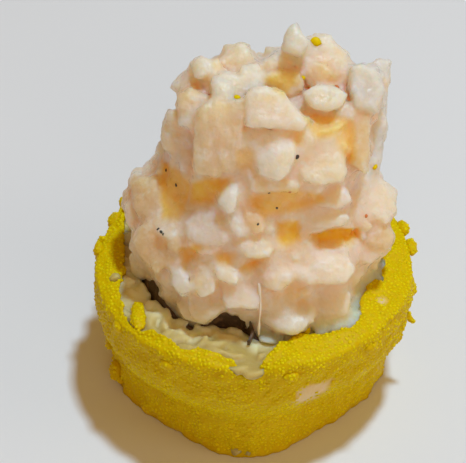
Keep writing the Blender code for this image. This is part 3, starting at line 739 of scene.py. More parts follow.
class Web:
    """The edges of a mesh, for evening out values between neighbours."""

    def __init__(self, mesh):
        ends = np.empty(len(mesh.edges) * 2, dtype=np.int64)
        mesh.edges.foreach_get("vertices", ends)
        self.first, self.second = ends.reshape(-1, 2).T
        self.count = len(mesh.vertices)
        self.neighbours = np.maximum(np.bincount(ends, minlength=self.count), 1)

    def evened(self, values, rounds, share=0.5):
        """Values after some rounds of moving each towards its neighbours' mean."""
        result = np.array(values, dtype=float)
        share = np.asarray(share).reshape(-1, 1) if np.ndim(share) else share
        flat = result.ndim == 1
        if flat:
            result = result.reshape(-1, 1)
        for _ in range(rounds):
            total = np.empty_like(result)
            for column in range(result.shape[1]):
                sums = np.bincount(self.first, result[self.second, column], self.count)
                sums += np.bincount(self.second, result[self.first, column], self.count)
                total[:, column] = sums / self.neighbours
            result += (total - result) * share
        return result.ravel() if flat else result

    def depth(self, points, rounds, normals):
        """How far each point lies under its surroundings, as some rounds of evening show them."""
        return np.einsum("ij,ij->i", self.evened(points, rounds) - points, normals)


def store_values(mesh, name, values):
    """Keep one number for each vertex as an attribute."""
    attribute = mesh.attributes.new(name, "FLOAT", "POINT")
    attribute.data.foreach_set("value", np.asarray(values, dtype=np.float32))


def store_colours(mesh, name, colours):
    """Keep one colour for each vertex as an attribute."""
    attribute = mesh.color_attributes.new(name, "FLOAT_COLOR", "POINT")
    full = np.ones((len(colours), 4), dtype=np.float32)
    full[:, :3] = colours
    attribute.data.foreach_set("color", full.ravel())


def dress(mesh, material):
    """Give a mesh one material."""
    mesh.materials.clear()
    mesh.materials.append(material)


def fill_creases(mesh, web, points, rounds, left, share):
    """Points, with a share of what lies deeper under its surroundings than a length filled up."""
    write_points(mesh, points)
    normals = read_normals(mesh)
    sunk = web.depth(points, rounds, normals)
    return points + normals * (share * np.maximum(sunk - left, 0.0))[:, None]


def warped(points, size, depth):
    """Points moved to and fro by smooth noise of a size and depth in millimetres."""
    moves = [tuple(noise.noise_vector(Vector(row) / (size * MM)) * depth * MM) for row in points]
    return points + np.array(moves)


def bridge(shell, near, far):
    """Faces between two closed loops of vertices."""
    for index, _ in enumerate(near):
        following = (index + 1) % len(near)
        shell.faces.new((near[index], near[following], far[following], far[index]))


def placing_at(place, *turns):
    """Matrix that turns by three angles and then moves to a place."""
    return Matrix.Translation(place) @ Euler(turns).to_matrix().to_4x4()


def turned(degrees):
    """Matrix that turns round Z."""
    return Euler((0.0, 0.0, math.radians(degrees))).to_matrix()


def rounded_body(centre, size, turn=0.0, detail=2):
    """Small ellipsoid."""
    body = bmesh.new()
    bmesh.ops.create_icosphere(body, subdivisions=detail, radius=0.5)
    bmesh.ops.scale(body, vec=size, verts=body.verts)
    bmesh.ops.transform(body, matrix=placing_at(centre, 0.0, 0.0, turn), verts=body.verts)
    return body


# Materials


class Value:
    """A shader socket that arithmetic can be written with."""

    def __init__(self, shop, socket):
        self.shop = shop
        self.socket = socket

    def _math(self, operation, first, second=None):
        values = {0: first} if second is None else {0: first, 1: second}
        return self.shop.node("ShaderNodeMath", {"operation": operation}, values)

    def __add__(self, other):
        return self._math("ADD", self, other)

    def __mul__(self, other):
        return self._math("MULTIPLY", self, other)

    def __sub__(self, other):
        return self._math("SUBTRACT", self, other)

    def __rsub__(self, other):
        return self._math("SUBTRACT", other, self)

    def clamped(self):
        """The value kept between 0 and 1."""
        return self.shop.node("ShaderNodeClamp", {}, {"Value": self})

    def ramped(self, low, high):
        """0 at low, 1 at high, eased between them."""
        settings = {"interpolation_type": "SMOOTHSTEP"}
        values = {"Value": self, "From Min": low, "From Max": high}
        return self.shop.node("ShaderNodeMapRange", settings, values)


class Finish:
    """A Principled material that is built from nodes."""

    def __init__(self, name):
        self.material = bpy.data.materials.new(name)
        self.material.use_nodes = True
        self.nodes = self.material.node_tree.nodes
        self.links = self.material.node_tree.links
        self.shader = self.nodes["Principled BSDF"]
        self.place = self.node("ShaderNodeTexCoord", {}, {}, "Object")

    def feed(self, socket, value):
        """Link a value into a socket, or set it."""
        if isinstance(value, Value):
            self.links.new(value.socket, socket)
        elif isinstance(value, (tuple, list)) and len(value) == 3 and socket.type == "RGBA":
            socket.default_value = (*value, 1.0)
        else:
            socket.default_value = value

    def node(self, kind, settings, values, output=0):
        """Any node: its settings first, then the values or links of its sockets."""
        made = self.nodes.new(kind)
        for key, setting in settings.items():
            setattr(made, key, setting)
        for key, value in values.items():
            self.feed(made.inputs[key], value)
        return Value(self, made.outputs[output])

    def grain(self, size, detail=2.0, roughness=0.5, distortion=0.0):
        """Noise whose bumps have a size in metres, about 0 to 1."""
        values = {
            "Vector": self.place, "Scale": 1.0 / size, "Detail": detail,
            "Roughness": roughness, "Distortion": distortion,
        }
        return self.node("ShaderNodeTexNoise", {}, values)

    def cells(self, size):
        """Distance to the middle of the nearest of many cells of a size."""
        values = {"Vector": self.place, "Scale": 1.0 / size}
        return self.node("ShaderNodeTexVoronoi", {}, values, "Distance")

    def attribute(self, name, output="Fac"):
        """An attribute of the mesh."""
        return self.node("ShaderNodeAttribute", {"attribute_name": name}, {}, output)

    def mixed(self, share, first, second):
        """Blend of two colours."""
        made = self.nodes.new("ShaderNodeMix")
        made.data_type = "RGBA"
        sockets = [socket for socket in made.inputs if socket.enabled]
        for socket, value in zip(sockets, (share, first, second)):
            self.feed(socket, value)
        return Value(self, next(socket for socket in made.outputs if socket.enabled))

    def bumped(self, height, distance):
        """Normal bent by a height."""
        values = {"Strength": 1.0, "Distance": distance, "Height": height}
        return self.node("ShaderNodeBump", {}, values)

    def shade(self, **values):
        """Set or link the shader's sockets, named with underscores for spaces."""
        for key, value in values.items():
            self.feed(self.shader.inputs[key.replace("_", " ")], value)
        return self.material


def soft_inside(finish, weight, radius, scale):
    """Light that goes into the food and comes out beside."""
    finish.shade(Subsurface_Weight=weight, Subsurface_Radius=radius, Subsurface_Scale=scale)


# How strongly the roe mirrors, and how far each colour of light goes into it
ROE_SHINE = 0.08
ROE_INSIDE = (1.0, 0.7, 0.05)


def roe_grain_finish(colours):
    """Moist roe: each grain has its own yellow."""
    finish = Finish("roe_grains")
    shade = finish.attribute("grain_shade")
    patch = finish.grain(3.5 * MM, 2.0)
    share = (shade * 0.6 + (patch - 0.5) * 1.4 + 0.2).clamped()
    colour = finish.mixed(share, colours.roe_deep[:], colours.roe_bright[:])
    roughness = finish.grain(0.9 * MM) * 0.25 + 0.3
    bump = finish.bumped(finish.grain(0.25 * MM), 0.03 * MM)
    soft_inside(finish, 0.5, ROE_INSIDE, 0.7 * MM)
    return finish.shade(Base_Color=colour, Roughness=roughness, Normal=bump, Specular_IOR_Level=ROE_SHINE)


def roe_bed_finish(colours):
    """The bed of crushed roe and its juice between the grains, bare where rice shows."""
    finish = Finish("roe_bed")
    patch = finish.grain(0.6 * MM, 3.0)
    yellow = finish.mixed(patch.ramped(0.3, 0.7), colours.roe_bed[:], colours.roe_deep[:])
    bare = finish.attribute("bare")
    colour = finish.mixed(bare, yellow, colours.bare_rice[:])
    height = finish.grain(0.5 * MM, 3.0) + finish.cells(0.7 * MM) * 0.5
    soft_inside(finish, 0.3, ROE_INSIDE, 0.5 * MM)
    normal = finish.bumped(height, 0.12 * MM)
    return finish.shade(Base_Color=colour, Roughness=0.45, Normal=normal, Specular_IOR_Level=ROE_SHINE)


def rice_finish(colours):
    """Sticky cooked rice: lighter beside the seaweed as painted light where the heap shades it, moist and
    yellowed by the roe further out, with painted light on the raised grains.
    """
    finish = Finish("rice_sticky")
    patch = finish.grain(2.2 * MM, 3.0)
    share = (finish.attribute("inward") + (patch - 0.5) * 0.7).clamped()
    colour = finish.mixed(share, colours.rice_outer[:], colours.rice_inner_painted_light[:])
    # Painted light and shade: the raised grains are lighter than the rice between them
    light = finish.attribute("raised").ramped(0.3, 0.8) * 0.15
    colour = finish.mixed(light, colour, colours.rice_raised_painted_light[:])
    roughness = finish.grain(1.2 * MM) * 0.3 + 0.28
    height = finish.grain(0.45 * MM, 4.0) + finish.grain(0.15 * MM) * 0.3
    soft_inside(finish, 0.9, (1.0, 0.85, 0.55), 2.6 * MM)
    normal = finish.bumped(height, 0.10 * MM)
    return finish.shade(Base_Color=colour, Roughness=roughness, Normal=normal, Specular_IOR_Level=0.3)


def nori_finish(colours):
    """Moist seaweed: dark purple brown with patches of painted light and sheen, with the fine crinkle of a
    pressed sheet.
    """
    finish = Finish("nori_sheet")
    patch = finish.grain(1.3 * MM, 4.0, 0.6)
    # Lighter brown patches at random: painted light and sheen
    colour = finish.mixed(patch.ramped(0.45, 0.75), colours.nori[:], colours.nori_painted_sheen[:])
    height = finish.grain(0.5 * MM, 5.0, 0.7)
    roughness = patch * 0.3 + 0.25
    return finish.shade(Base_Color=colour, Roughness=roughness, Normal=finish.bumped(height, 0.15 * MM))


def heap_finish(colours):
    """Chopped seafood bound in sauce: colour and wetness follow the pieces, moist and soft inside."""
    finish = Finish("seafood_heap")
    tint = finish.attribute("tint", "Color")
    mottle = finish.grain(1.1 * MM, 3.0)
    fine = finish.grain(0.4 * MM, 3.0)
    share = (mottle * 0.6 + fine * 0.4).ramped(0.35, 0.7)
    # Less pale mottling where the painted amber glow lies
    opaque = 1.0 - finish.attribute("clear")
    warm = finish.grain(2.6 * MM, 2.0).ramped(0.5, 0.72) * 0.34
    cool = finish.grain(1.9 * MM, 3.0, distortion=0.6).ramped(0.52, 0.7) * 0.45 * opaque
    colour = finish.mixed(warm, tint, colours.warm_patch[:])
    colour = finish.mixed(cool, colour, colours.cool_patch[:])
    colour = finish.mixed(share * 0.2 * opaque, colour, colours.fine_mottle[:])
    wet = finish.grain(2.0 * MM, 2.0).ramped(0.4, 0.65)
    roughness = 0.46 - wet * 0.24
    height = finish.grain(0.7 * MM, 4.0, 0.6) + finish.cells(0.55 * MM) * 0.25
    normal = finish.bumped(height, 0.16 * MM)
    soft_inside(finish, 0.95, (1.0, 0.68, 0.42), 8.0 * MM)
    return finish.shade(Base_Color=colour, Roughness=roughness, Normal=normal, IOR=1.4)


def speck_finish(name, colour):
    """A dry speck of spice."""
    finish = Finish(name)
    share = finish.grain(0.3 * MM)
    lighter = tuple(min(1.0, 1.8 * part + 0.01) for part in colour)
    return finish.shade(Base_Color=finish.mixed(share, tuple(colour), lighter), Roughness=0.5)


def sauce_finish(colours):
    """Plain thin sauce."""
    finish = Finish("sauce_strand")
    share = finish.grain(1.0 * MM)
    colour = finish.mixed(share, colours.pink[:], colours.white[:])
    soft_inside(finish, 0.6, (1.0, 0.6, 0.35), 1.0 * MM)
    return finish.shade(Base_Color=colour, Roughness=0.25)


def floor_finish(colour):
    """Plain pale floor."""
    finish = Finish("floor_plain")
    share = finish.grain(40 * MM, 2.0)
    shade = tuple(0.985 * part for part in colour)
    return finish.shade(Base_Color=finish.mixed(share, tuple(colour), shade), Roughness=0.7)


# The stage


def camera_axes(look):
    """Directions to the right of the view, up in it, and back towards the camera."""
    rise = look.camera_elevation
    back = Vector((0.0, -math.cos(rise), math.sin(rise)))
    up = Vector((0.0, math.sin(rise), math.cos(rise)))
    return Vector((1.0, 0.0, 0.0)), up, back


def camera_place(sizes, look):
    """Place of the camera: the middle of the cut face shows at FACE_PIXEL."""
    right, up, back = camera_axes(look)
    face = Vector((FACE_SPOT.x, FACE_SPOT.y, sizes.roll_height))
    aside = (FACE_PIXEL[0] - PHOTO_SIZE[0] / 2) / look.pixels_per_mm * MM
    lift = (FACE_PIXEL[1] - PHOTO_SIZE[1] / 2) / look.pixels_per_mm * MM
    return face + back * look.camera_distance - right * aside + up * lift


def photo_pixels(sizes, look, points):
    """Photo pixel at which each row of an array of points shows."""
    right, up, back = (np.array(axis) for axis in camera_axes(look))
    offsets = points - np.array(camera_place(sizes, look))
    scale = look.pixels_per_mm / MM * look.camera_distance / -(offsets @ back)
    across = PHOTO_SIZE[0] / 2 + offsets @ right * scale
    return np.stack((across, PHOTO_SIZE[1] / 2 - offsets @ up * scale), axis=1)


def seen_ray(sizes, look, pixel):
    """Start and direction of the line of sight through a pixel of the photo."""
    right, up, back = camera_axes(look)
    aside = (pixel[0] - PHOTO_SIZE[0] / 2) / look.pixels_per_mm * MM
    lift = (PHOTO_SIZE[1] / 2 - pixel[1]) / look.pixels_per_mm * MM
    direction = right * aside + up * lift - back * look.camera_distance
    return camera_place(sizes, look), direction.normalized()


def seen_on_plane(sizes, look, pixel, spot, normal):
    """Place at which a pixel shows the plane through a spot, and the direction of the line of sight."""
    start, direction = seen_ray(sizes, look, pixel)
    return intersect_line_plane(start, start + direction, spot, normal), direction


def add_area_light(name, place, target, size, power, colour):
    """Soft square light that faces a point."""
    lamp = bpy.data.lights.new(name, "AREA")
    lamp.size = size
    lamp.energy = power
    lamp.color = colour
    thing = bpy.data.objects.new(name, lamp)
    thing.location = place
    thing.rotation_euler = (target - place).to_track_quat("-Z", "Y").to_euler()
    bpy.context.scene.collection.objects.link(thing)


class ROLL_OT_stage(bpy.types.Operator):
    """Make the floor, the lights and the camera at the photo's view"""

    bl_idname = "roll.stage"
    bl_label = "Stage"

    def execute(self, context):
        sizes = context.scene.roll_sizes
        look = context.scene.roll_look
        floor = bmesh.new()
        bmesh.ops.create_grid(floor, x_segments=8, y_segments=8, size=FLOOR_SIZE)
        bmesh.ops.translate(floor, vec=(0.0, 0.0, -FLOOR_DROP), verts=floor.verts)
        object_from("floor", floor, floor_finish(look.floor_colour))
        for name, offset, size in LIGHTS:
            power = getattr(look, f"{name}_power")
            colour = getattr(look, f"{name}_colour")
            add_area_light(name, STAGE_MIDDLE + Vector(offset), STAGE_MIDDLE, size, power, colour)
        world = bpy.data.worlds.new("room")
        world.use_nodes = True
        background = world.node_tree.nodes["Background"]
        background.inputs["Color"].default_value = (*look.ambient_colour, 1.0)
        background.inputs["Strength"].default_value = look.ambient_strength
        context.scene.world = world
        camera = bpy.data.cameras.new("photo_camera")
        camera.sensor_width = 36.0
        view_width = PHOTO_SIZE[0] / look.pixels_per_mm * MM
        camera.lens = camera.sensor_width * look.camera_distance / view_width
        camera.clip_start = 0.01
        holder = bpy.data.objects.new("photo_camera", camera)
        turn = Matrix(camera_axes(look)).transposed().to_4x4()
        holder.matrix_world = Matrix.Translation(camera_place(sizes, look)) @ turn
        context.scene.collection.objects.link(holder)
        context.scene.camera = holder
        context.scene.view_settings.view_transform = "Standard"
        return {"FINISHED"}


# The roe coat


def roe_bed(sizes, look):
    """The coat without its grains: a lumpy ring that laps over the rice, with clumps and patches."""

    def profile(angle):
        """Section of the coat: outside with bumps, round rim, lap over the rice, plain inside."""
        top = rim_height(sizes, angle)
        reach = roe_reach(angle)
        rounding = min(RIM_ROUNDING, 0.25 * MM + 0.45 * reach)
        points = []
        for row in range(ROE_ROWS):
            height = (top - rounding) * row / (ROE_ROWS - 1)
            radius = body_radius(sizes, angle, height)
            lift = layered(on_circle(sizes, angle, radius, height), BED_BUMPS)
            points.append((radius + lift - BED_SUNK, height))
        outer = body_radius(sizes, angle, top) - BED_SUNK
        for part in (0.25, 0.5, 0.75, 1.0):
            turn = math.radians(90.0 * part)
            across = outer - rounding * (1.0 - math.cos(turn))
            wave = relief(on_circle(sizes, angle, across, top), 1.6 * MM, 0.35 * MM) * part
            points.append((across, top - rounding + rounding * math.sin(turn) + wave))
        edge = outer - reach - 0.3 * MM
        edge += relief(on_circle(sizes, angle, edge, top), 1.4 * MM, 0.7 * MM)
        edge = min(edge, outer - rounding - 0.1 * MM)
        rest = top + (sizes.roll_height + ROE_LIP - top) * smooth_rise(reach / (2.0 * MM))
        for share in (0.2, 0.4, 0.6, 0.8, 1.0):
            across = outer - rounding + (edge - outer + rounding) * share
            level = rest + (top - rest) * (1.0 - share) ** 2
            level += layered(on_circle(sizes, angle, across, level), LAP_BUMPS)
            points.append((across, level))
        points.append((edge - 0.1 * MM, rest - 0.7 * MM))
        points.append((edge + 0.1 * MM, rest - 1.6 * MM))
        for share in (0.9, 0.6, 0.3, 0.0):
            height = (rest - 2.2 * MM) * share
            points.append((body_radius(sizes, angle, height) - sizes.roe_thickness, height))
        return points

    bed = turned_ring(sizes, profile, ROE_STEPS)
    for angle, height, out, width in ROE_CLUMPS:
        level = height * MM
        radius = body_radius(sizes, angle, level) + out * MM - 0.6 * MM
        size = Vector((1.8 * MM, width * MM, 1.9 * MM))
        centre = on_circle(sizes, angle, radius, level)
        join_bodies(bed, rounded_body(centre, size, math.radians(angle), 3))
    face = Vector((0.0, 0.0, sizes.roll_height + 0.1 * MM))
    for pixel, length, width, turn in ROE_PATCHES:
        centre, _ = seen_on_plane(sizes, look, pixel, face, Vector((0.0, 0.0, 1.0)))
        size = Vector((length, width, 1.5)) * MM
        join_bodies(bed, uneven_body(centre, size, turned(turn)))
    view = Matrix(camera_axes(look)).transposed()
    for angle, height, out, length, width, turn in ROE_LUMPS:
        level = height * MM
        centre = on_circle(sizes, angle, body_radius(sizes, angle, level) + out * MM, level)
        size = Vector((length, width, width)) * MM
        join_bodies(bed, uneven_body(centre, size, view @ turned(turn)))
    return bed


def uneven_body(centre, size, spin):
    """Ellipsoid with bumps, turned by a matrix."""
    body = rounded_body(Vector((0.0, 0.0, 0.0)), size, detail=4)
    for vert in body.verts:
        vert.co += vert.normal * relief(vert.co + centre, 1.3 * MM, 0.3 * MM)
    bmesh.ops.transform(body, matrix=Matrix.Translation(centre) @ spin.to_4x4(), verts=body.verts)
    return body


def bare_shares(sizes, look, points, normals):
    """Share of each point that lies in a bare spot, 0 to 1, on the side that the photo shows."""
    pixels = photo_pixels(sizes, look, points)
    shown = normals @ np.array(camera_axes(look)[2]) > 0.0
    shares = np.zeros(len(points))
    for pixel, reach, turn in BARE_SPOTS:
        offsets = pixels - np.array(pixel)
        turned = math.radians(turn)
        along = (offsets[:, 0] * math.cos(turned) - offsets[:, 1] * math.sin(turned)) / reach[0]
        aside = (offsets[:, 0] * math.sin(turned) + offsets[:, 1] * math.cos(turned)) / reach[1]
        distance = np.hypot(along, aside)
        for index in np.nonzero(shown & (distance < 1.6))[0]:
            edge = distance[index] + relief(Vector(points[index]), 1.2 * MM, 0.6)
            shares[index] = max(shares[index], 1.0 - smooth_rise((edge - 0.7) / 0.4))
    return shares


def coat_amounts(sizes, points, normals, bare):
    """How thickly the grains lie at each point: none inside the coat, few where it is bare."""
    amounts = []
    for row, normal, bald in zip(points, normals, bare):
        _, away, angle = from_axis(sizes, row)
        outside = away.length > body_radius(sizes, angle, row[2]) - 1.0 * MM
        above = row[2] > rim_height(sizes, angle) - 0.9 * MM and normal[2] > -0.2
        amount = 1.0 if (outside or above) and row[2] > LOWEST_GRAIN else 0.0
        amounts.append(amount * (1.0 - BARE_LOSS * bald))
    return amounts


def grain_tree(material):
    """Node tree that covers a mesh with grains of its own size, spacing and seed."""
    tree = bpy.data.node_groups.new("roe_grains", "GeometryNodeTree")
    interface = tree.interface
    interface.new_socket("Geometry", in_out="INPUT", socket_type="NodeSocketGeometry")
    for label in ("Grain Size", "Spacing", "Sink"):
        interface.new_socket(label, in_out="INPUT", socket_type="NodeSocketFloat")
    interface.new_socket("Seed", in_out="INPUT", socket_type="NodeSocketInt")
    interface.new_socket("Geometry", in_out="OUTPUT", socket_type="NodeSocketGeometry")

    def add(kind, settings=None, values=None):
        """Add a node with its settings and set or link its inputs."""
        made = tree.nodes.new(kind)
        for key, setting in (settings or {}).items():
            setattr(made, key, setting)
        for key, value in (values or {}).items():
            if isinstance(value, bpy.types.NodeSocket):
                tree.links.new(value, made.inputs[key])
            else:
                made.inputs[key].default_value = value
        return made

    given = add("NodeGroupInput").outputs
    coat = add("GeometryNodeInputNamedAttribute", {"data_type": "FLOAT"}, {"Name": "coat"})
    scatter = add(
        "GeometryNodeDistributePointsOnFaces", {"distribute_method": "POISSON"},
        {"Mesh": given["Geometry"], "Distance Min": given["Spacing"], "Density Max": ROE_DENSITY,
         "Density Factor": coat.outputs["Attribute"], "Seed": given["Seed"]})
    inward = add("ShaderNodeMath", {"operation": "MULTIPLY"}, {0: given["Sink"], 1: -1.0})
    sink = add(
        "ShaderNodeVectorMath", {"operation": "SCALE"},
        {0: scatter.outputs["Normal"], "Scale": inward.outputs[0]})
    settled = add(
        "GeometryNodeSetPosition", None,
        {"Geometry": scatter.outputs["Points"], "Offset": sink.outputs["Vector"]})
    half = add("ShaderNodeMath", {"operation": "MULTIPLY"}, {0: given["Grain Size"], 1: 0.5})
    ball = add("GeometryNodeMeshIcoSphere", None, {"Radius": half.outputs[0], "Subdivisions": 1})
    spin = add(
        "FunctionNodeRandomValue", {"data_type": "FLOAT_VECTOR"}, {"Max": (6.28, 6.28, 6.28), "Seed": 2})
    least, most = ((width, width, width) for width in GRAIN_WIDTHS)
    widths = add(
        "FunctionNodeRandomValue", {"data_type": "FLOAT_VECTOR"}, {"Min": least, "Max": most, "Seed": 3})
    placed = add(
        "GeometryNodeInstanceOnPoints", None,
        {"Points": settled.outputs["Geometry"], "Instance": ball.outputs["Mesh"],
         "Rotation": spin.outputs["Value"], "Scale": widths.outputs["Value"]})
    shade = add("FunctionNodeRandomValue", {"data_type": "FLOAT"}, {"Seed": 4})
    stored = add(
        "GeometryNodeStoreNamedAttribute", {"data_type": "FLOAT", "domain": "INSTANCE"},
        {"Geometry": placed.outputs["Instances"], "Name": "grain_shade"})
    tree.links.new(next(s for s in shade.outputs if s.enabled), next(
        s for s in stored.inputs if s.enabled and s.name == "Value"))
    real = add("GeometryNodeRealizeInstances", None, {"Geometry": stored.outputs["Geometry"]})
    smooth = add("GeometryNodeSetShadeSmooth", None, {"Geometry": real.outputs["Geometry"]})
    dressed = add(
        "GeometryNodeSetMaterial", None,
        {"Geometry": smooth.outputs["Geometry"], "Material": material})
    out = add("NodeGroupOutput")
    tree.links.new(dressed.outputs["Geometry"], out.inputs["Geometry"])
    return tree


def grown(name, source, tree, inputs):
    """New object from a mesh and a node tree's result, as plain mesh."""
    thing = bpy.data.objects.new(name, source)
    bpy.context.scene.collection.objects.link(thing)
    modifier = thing.modifiers.new("Grow", "NODES")
    modifier.node_group = tree
    for item in tree.interface.items_tree:
        if item.in_out == "INPUT" and item.name in inputs:
            modifier[item.identifier] = inputs[item.name]
    made = evaluated_copy(thing)
    thing.modifiers.remove(modifier)
    thing.data = made
    return thing


class ROLL_OT_roe_coat(bpy.types.Operator):
    """Make the coat of roe: its bed and some thousands of grains on it"""

    bl_idname = "roll.roe_coat"
    bl_label = "Roe Coat"

    def execute(self, context):
        sizes = context.scene.roll_sizes
        colours = context.scene.roll_colours
        look = context.scene.roll_look
        bed = object_from("roe_bed", roe_bed(sizes, look), roe_bed_finish(colours))
        points = read_points(bed.data)
        normals = read_normals(bed.data)
        bare = bare_shares(sizes, look, points, normals)
        write_points(bed.data, points - normals * (0.25 * MM * bare)[:, None])
        store_values(bed.data, "coat", coat_amounts(sizes, points, normals, bare))
        store_values(bed.data, "bare", bare)
        tree = grain_tree(roe_grain_finish(colours))
        inputs = {
            "Grain Size": sizes.roe_grain, "Spacing": sizes.roe_spacing,
            "Sink": GRAIN_SINK, "Seed": sizes.seed,
        }
        grains = grown("roe_grains", bed.data, tree, inputs)
        if len(grains.data.polygons) < LEAST_GRAIN_FACES:
            raise RuntimeError("the roe has too few grains")
        for piece in (bed, grains):
            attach(piece, "root")
            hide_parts("roe_coat")
        return {"FINISHED"}


# The rice


def rice_grain(centre, size, turn, tilt, number):
    """One cooked grain: long, blunt at one end and a little bent."""
    body = bmesh.new()
    bmesh.ops.create_icosphere(body, subdivisions=3, radius=0.5)
    for vert in body.verts:
        along = vert.co.x * 2.0
        vert.co.y *= 1.0 - 0.18 * along
        vert.co.z *= 1.0 - 0.12 * along
        vert.co.y += 0.22 * along * along
    bmesh.ops.scale(body, vec=size, verts=body.verts)
    for vert in body.verts:
        vert.co += vert.co.normalized() * relief(vert.co + Vector((number, 0, 0)), 1.6 * MM, 0.18 * MM)
    placing = placing_at(centre, 0.4 * number % 1.0, tilt, turn)
    bmesh.ops.transform(body, matrix=placing, verts=body.verts)
    return body


def rice_ring(sizes):
    """The rice as a ring with grains on its two cut faces, before it is melted together."""

    def profile(angle):
        """Section between the seaweed and the roe."""
        inner = nori_radius(sizes, angle) + 0.2 * MM
        points = []
        top = sizes.roll_height - 0.9 * MM
        for share in (0.0, 0.34, 0.5, 0.66, 1.0):
            height = top * share
            points.append((body_radius(sizes, angle, height) - sizes.roe_thickness + 0.1 * MM, height))
        points.append((inner + 2.0 * MM, top))
        points.append((inner, top - 0.4 * MM * edge_shown(angle)))
        points.append((inner, 0.0))
        return points

    ring = turned_ring(sizes, profile, RICE_STEPS)
    draw = random.Random(sizes.seed + RICE_DRAWS)
    inmost = RICE_LANES[0][0]
    outmost = RICE_LANES[-1][0]
    number = 0
    for level in (sizes.roll_height, 0.0):
        for lane, count, spread in RICE_LANES:
            for index in range(count):
                number += 1
                angle = 360.0 * (index + draw.uniform(-0.4, 0.4)) / count
                inner = nori_radius(sizes, angle)
                outer = body_radius(sizes, angle, level) - sizes.roe_thickness + 0.2 * MM
                radius = inner + (outer - inner) * lane
                if lane == outmost:
                    radius += 1.5 * MM * notch(angle)
                if level and lane == inmost:
                    radius -= 0.9 * MM * (1.0 - edge_shown(angle))
                size = Vector((sizes.rice_length, sizes.rice_width, sizes.rice_width * 0.9))
                size *= draw.uniform(0.58, 0.85)
                turn = math.radians(angle + 90.0 + draw.uniform(-spread, spread))
                dip = draw.uniform(0.35, 1.0) * MM
                lift = level - dip - 0.9 * MM * notch(angle) if level else 0.9 * MM
                centre = on_circle(sizes, angle, radius, lift)
                join_bodies(ring, rice_grain(centre, size, turn, draw.uniform(-0.2, 0.2), number))
    return ring


def kept_between(sizes, row):
    """A point of the rice, kept between the seaweed and the roe, and how pale the rice is there: paler
    towards the seaweed and at the left as painted light, less pale where the roe yellows it.
    """
    shift, away, angle = from_axis(sizes, row)
    height = row[2]
    inner = nori_radius(sizes, angle) + 0.06 * MM
    if height > nori_top(sizes, angle) + 0.1 * MM:
        inner -= 1.0 * MM
    outer = body_radius(sizes, angle, height) - (1.0 - 1.3 * notch(angle)) * MM
    kept = min(max(away.length, inner), outer)
    away *= kept / away.length
    # Painted light: paler towards the seaweed and at the left, where the heap shades the rice
    pale = 1.0 - smooth_rise((kept - inner - 0.8 * MM) / (3.4 * MM))
    pale += PAINTED_LIGHT_RICE_SHARE * hump(angle, PAINTED_LIGHT_RICE_ANGLE, PAINTED_LIGHT_RICE_WIDTH)
    pale -= YELLOW_RICE_SHARE * hump(angle, YELLOW_RICE_ANGLE, YELLOW_RICE_WIDTH)
    if kept > outer + 0.6 * MM - roe_reach(angle) and notch(angle) < 0.3:
        height = min(height, sizes.roll_height - 0.5 * MM)
    return (shift.x + away.x, shift.y + away.y, height), pale


class ROLL_OT_rice(bpy.types.Operator):
    """Make the ring of sticky rice"""

    bl_idname = "roll.rice"
    bl_label = "Rice"

    def execute(self, context):
        sizes = context.scene.roll_sizes
        rice = object_from("rice_ring", rice_ring(sizes))
        melt_together(rice, sizes.rice_voxel)
        mesh = rice.data
        web = Web(mesh)
        points = fill_creases(mesh, web, web.evened(read_points(mesh), 1), *RICE_CREASES)
        points[:, 2] = np.maximum(points[:, 2], 0.0)
        places, inward = zip(*(kept_between(sizes, row) for row in points))
        points = np.array(places)
        write_points(mesh, points)
        store_values(mesh, "inward", inward)
        raised = -web.depth(points, 30, read_normals(mesh)) / (0.5 * MM)
        store_values(mesh, "raised", np.clip(0.5 + 0.5 * raised, 0.0, 1.0))
        dress(mesh, rice_finish(context.scene.roll_colours))
        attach(rice, "root")
        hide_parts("rice")
        return {"FINISHED"}


# The seaweed


def nori_sheet(sizes):
    """The seaweed ring with a crinkled edge, and its loose end bent out over the rice."""

    def profile(angle):
        """Section of the sheet: it stands over the rice and leans inward where it shows."""
        around = math.radians(angle)
        crinkle = relief(Vector((around * 9.0, 0.0, 0.0)), 1.0, 0.16 * MM)
        outer = nori_radius(sizes, angle)
        inner = outer - sizes.nori_thickness
        lean = (0.5 * pocket(angle) + 0.9 * bare_edge(angle)) * MM
        top = nori_top(sizes, angle)
        walls = ([], [])
        for part in range(17):
            height = (top - 0.1 * MM) * part / 16
            over = smooth_rise((height - sizes.roll_height + 1.5 * MM) / (3.0 * MM))
            wave = crinkle * (part / 16) ** 4 - lean * over
            walls[0].append((outer + wave, height))
            walls[1].append((inner + wave, height))
        edge = [(outer - 0.2 * MM + crinkle - lean, top), (inner + 0.15 * MM + crinkle - lean, top)]
        return walls[0] + edge + list(reversed(walls[1]))

    sheet = turned_ring(sizes, profile, 220)
    angle = POCKET_ANGLE + FLAP_TURN
    flap = bmesh.new()
    bmesh.ops.create_cube(flap, size=1.0)
    bmesh.ops.subdivide_edges(flap, edges=flap.edges, cuts=5, use_grid_fill=True)
    bmesh.ops.scale(flap, vec=FLAP_SIZE, verts=flap.verts)
    for vert in flap.verts:
        share = 0.5 - vert.co.y / (2.9 * MM)
        vert.co.x -= 0.9 * MM * share * share
        vert.co.z -= 0.5 * MM * share
    centre = on_circle(sizes, angle, nori_radius(sizes, angle) + 1.0 * MM, sizes.roll_height + 0.35 * MM)
    bmesh.ops.translate(flap, vec=centre, verts=flap.verts)
    join_bodies(sheet, flap)
    return sheet


class ROLL_OT_nori(bpy.types.Operator):
    """Make the ring of seaweed"""

    bl_idname = "roll.nori"
    bl_label = "Seaweed"

    def execute(self, context):
        sizes = context.scene.roll_sizes
        sheet = object_from("nori_sheet", nori_sheet(sizes), nori_finish(context.scene.roll_colours))
        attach(sheet, "root")
        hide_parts("nori")
        return {"FINISHED"}


# The heap


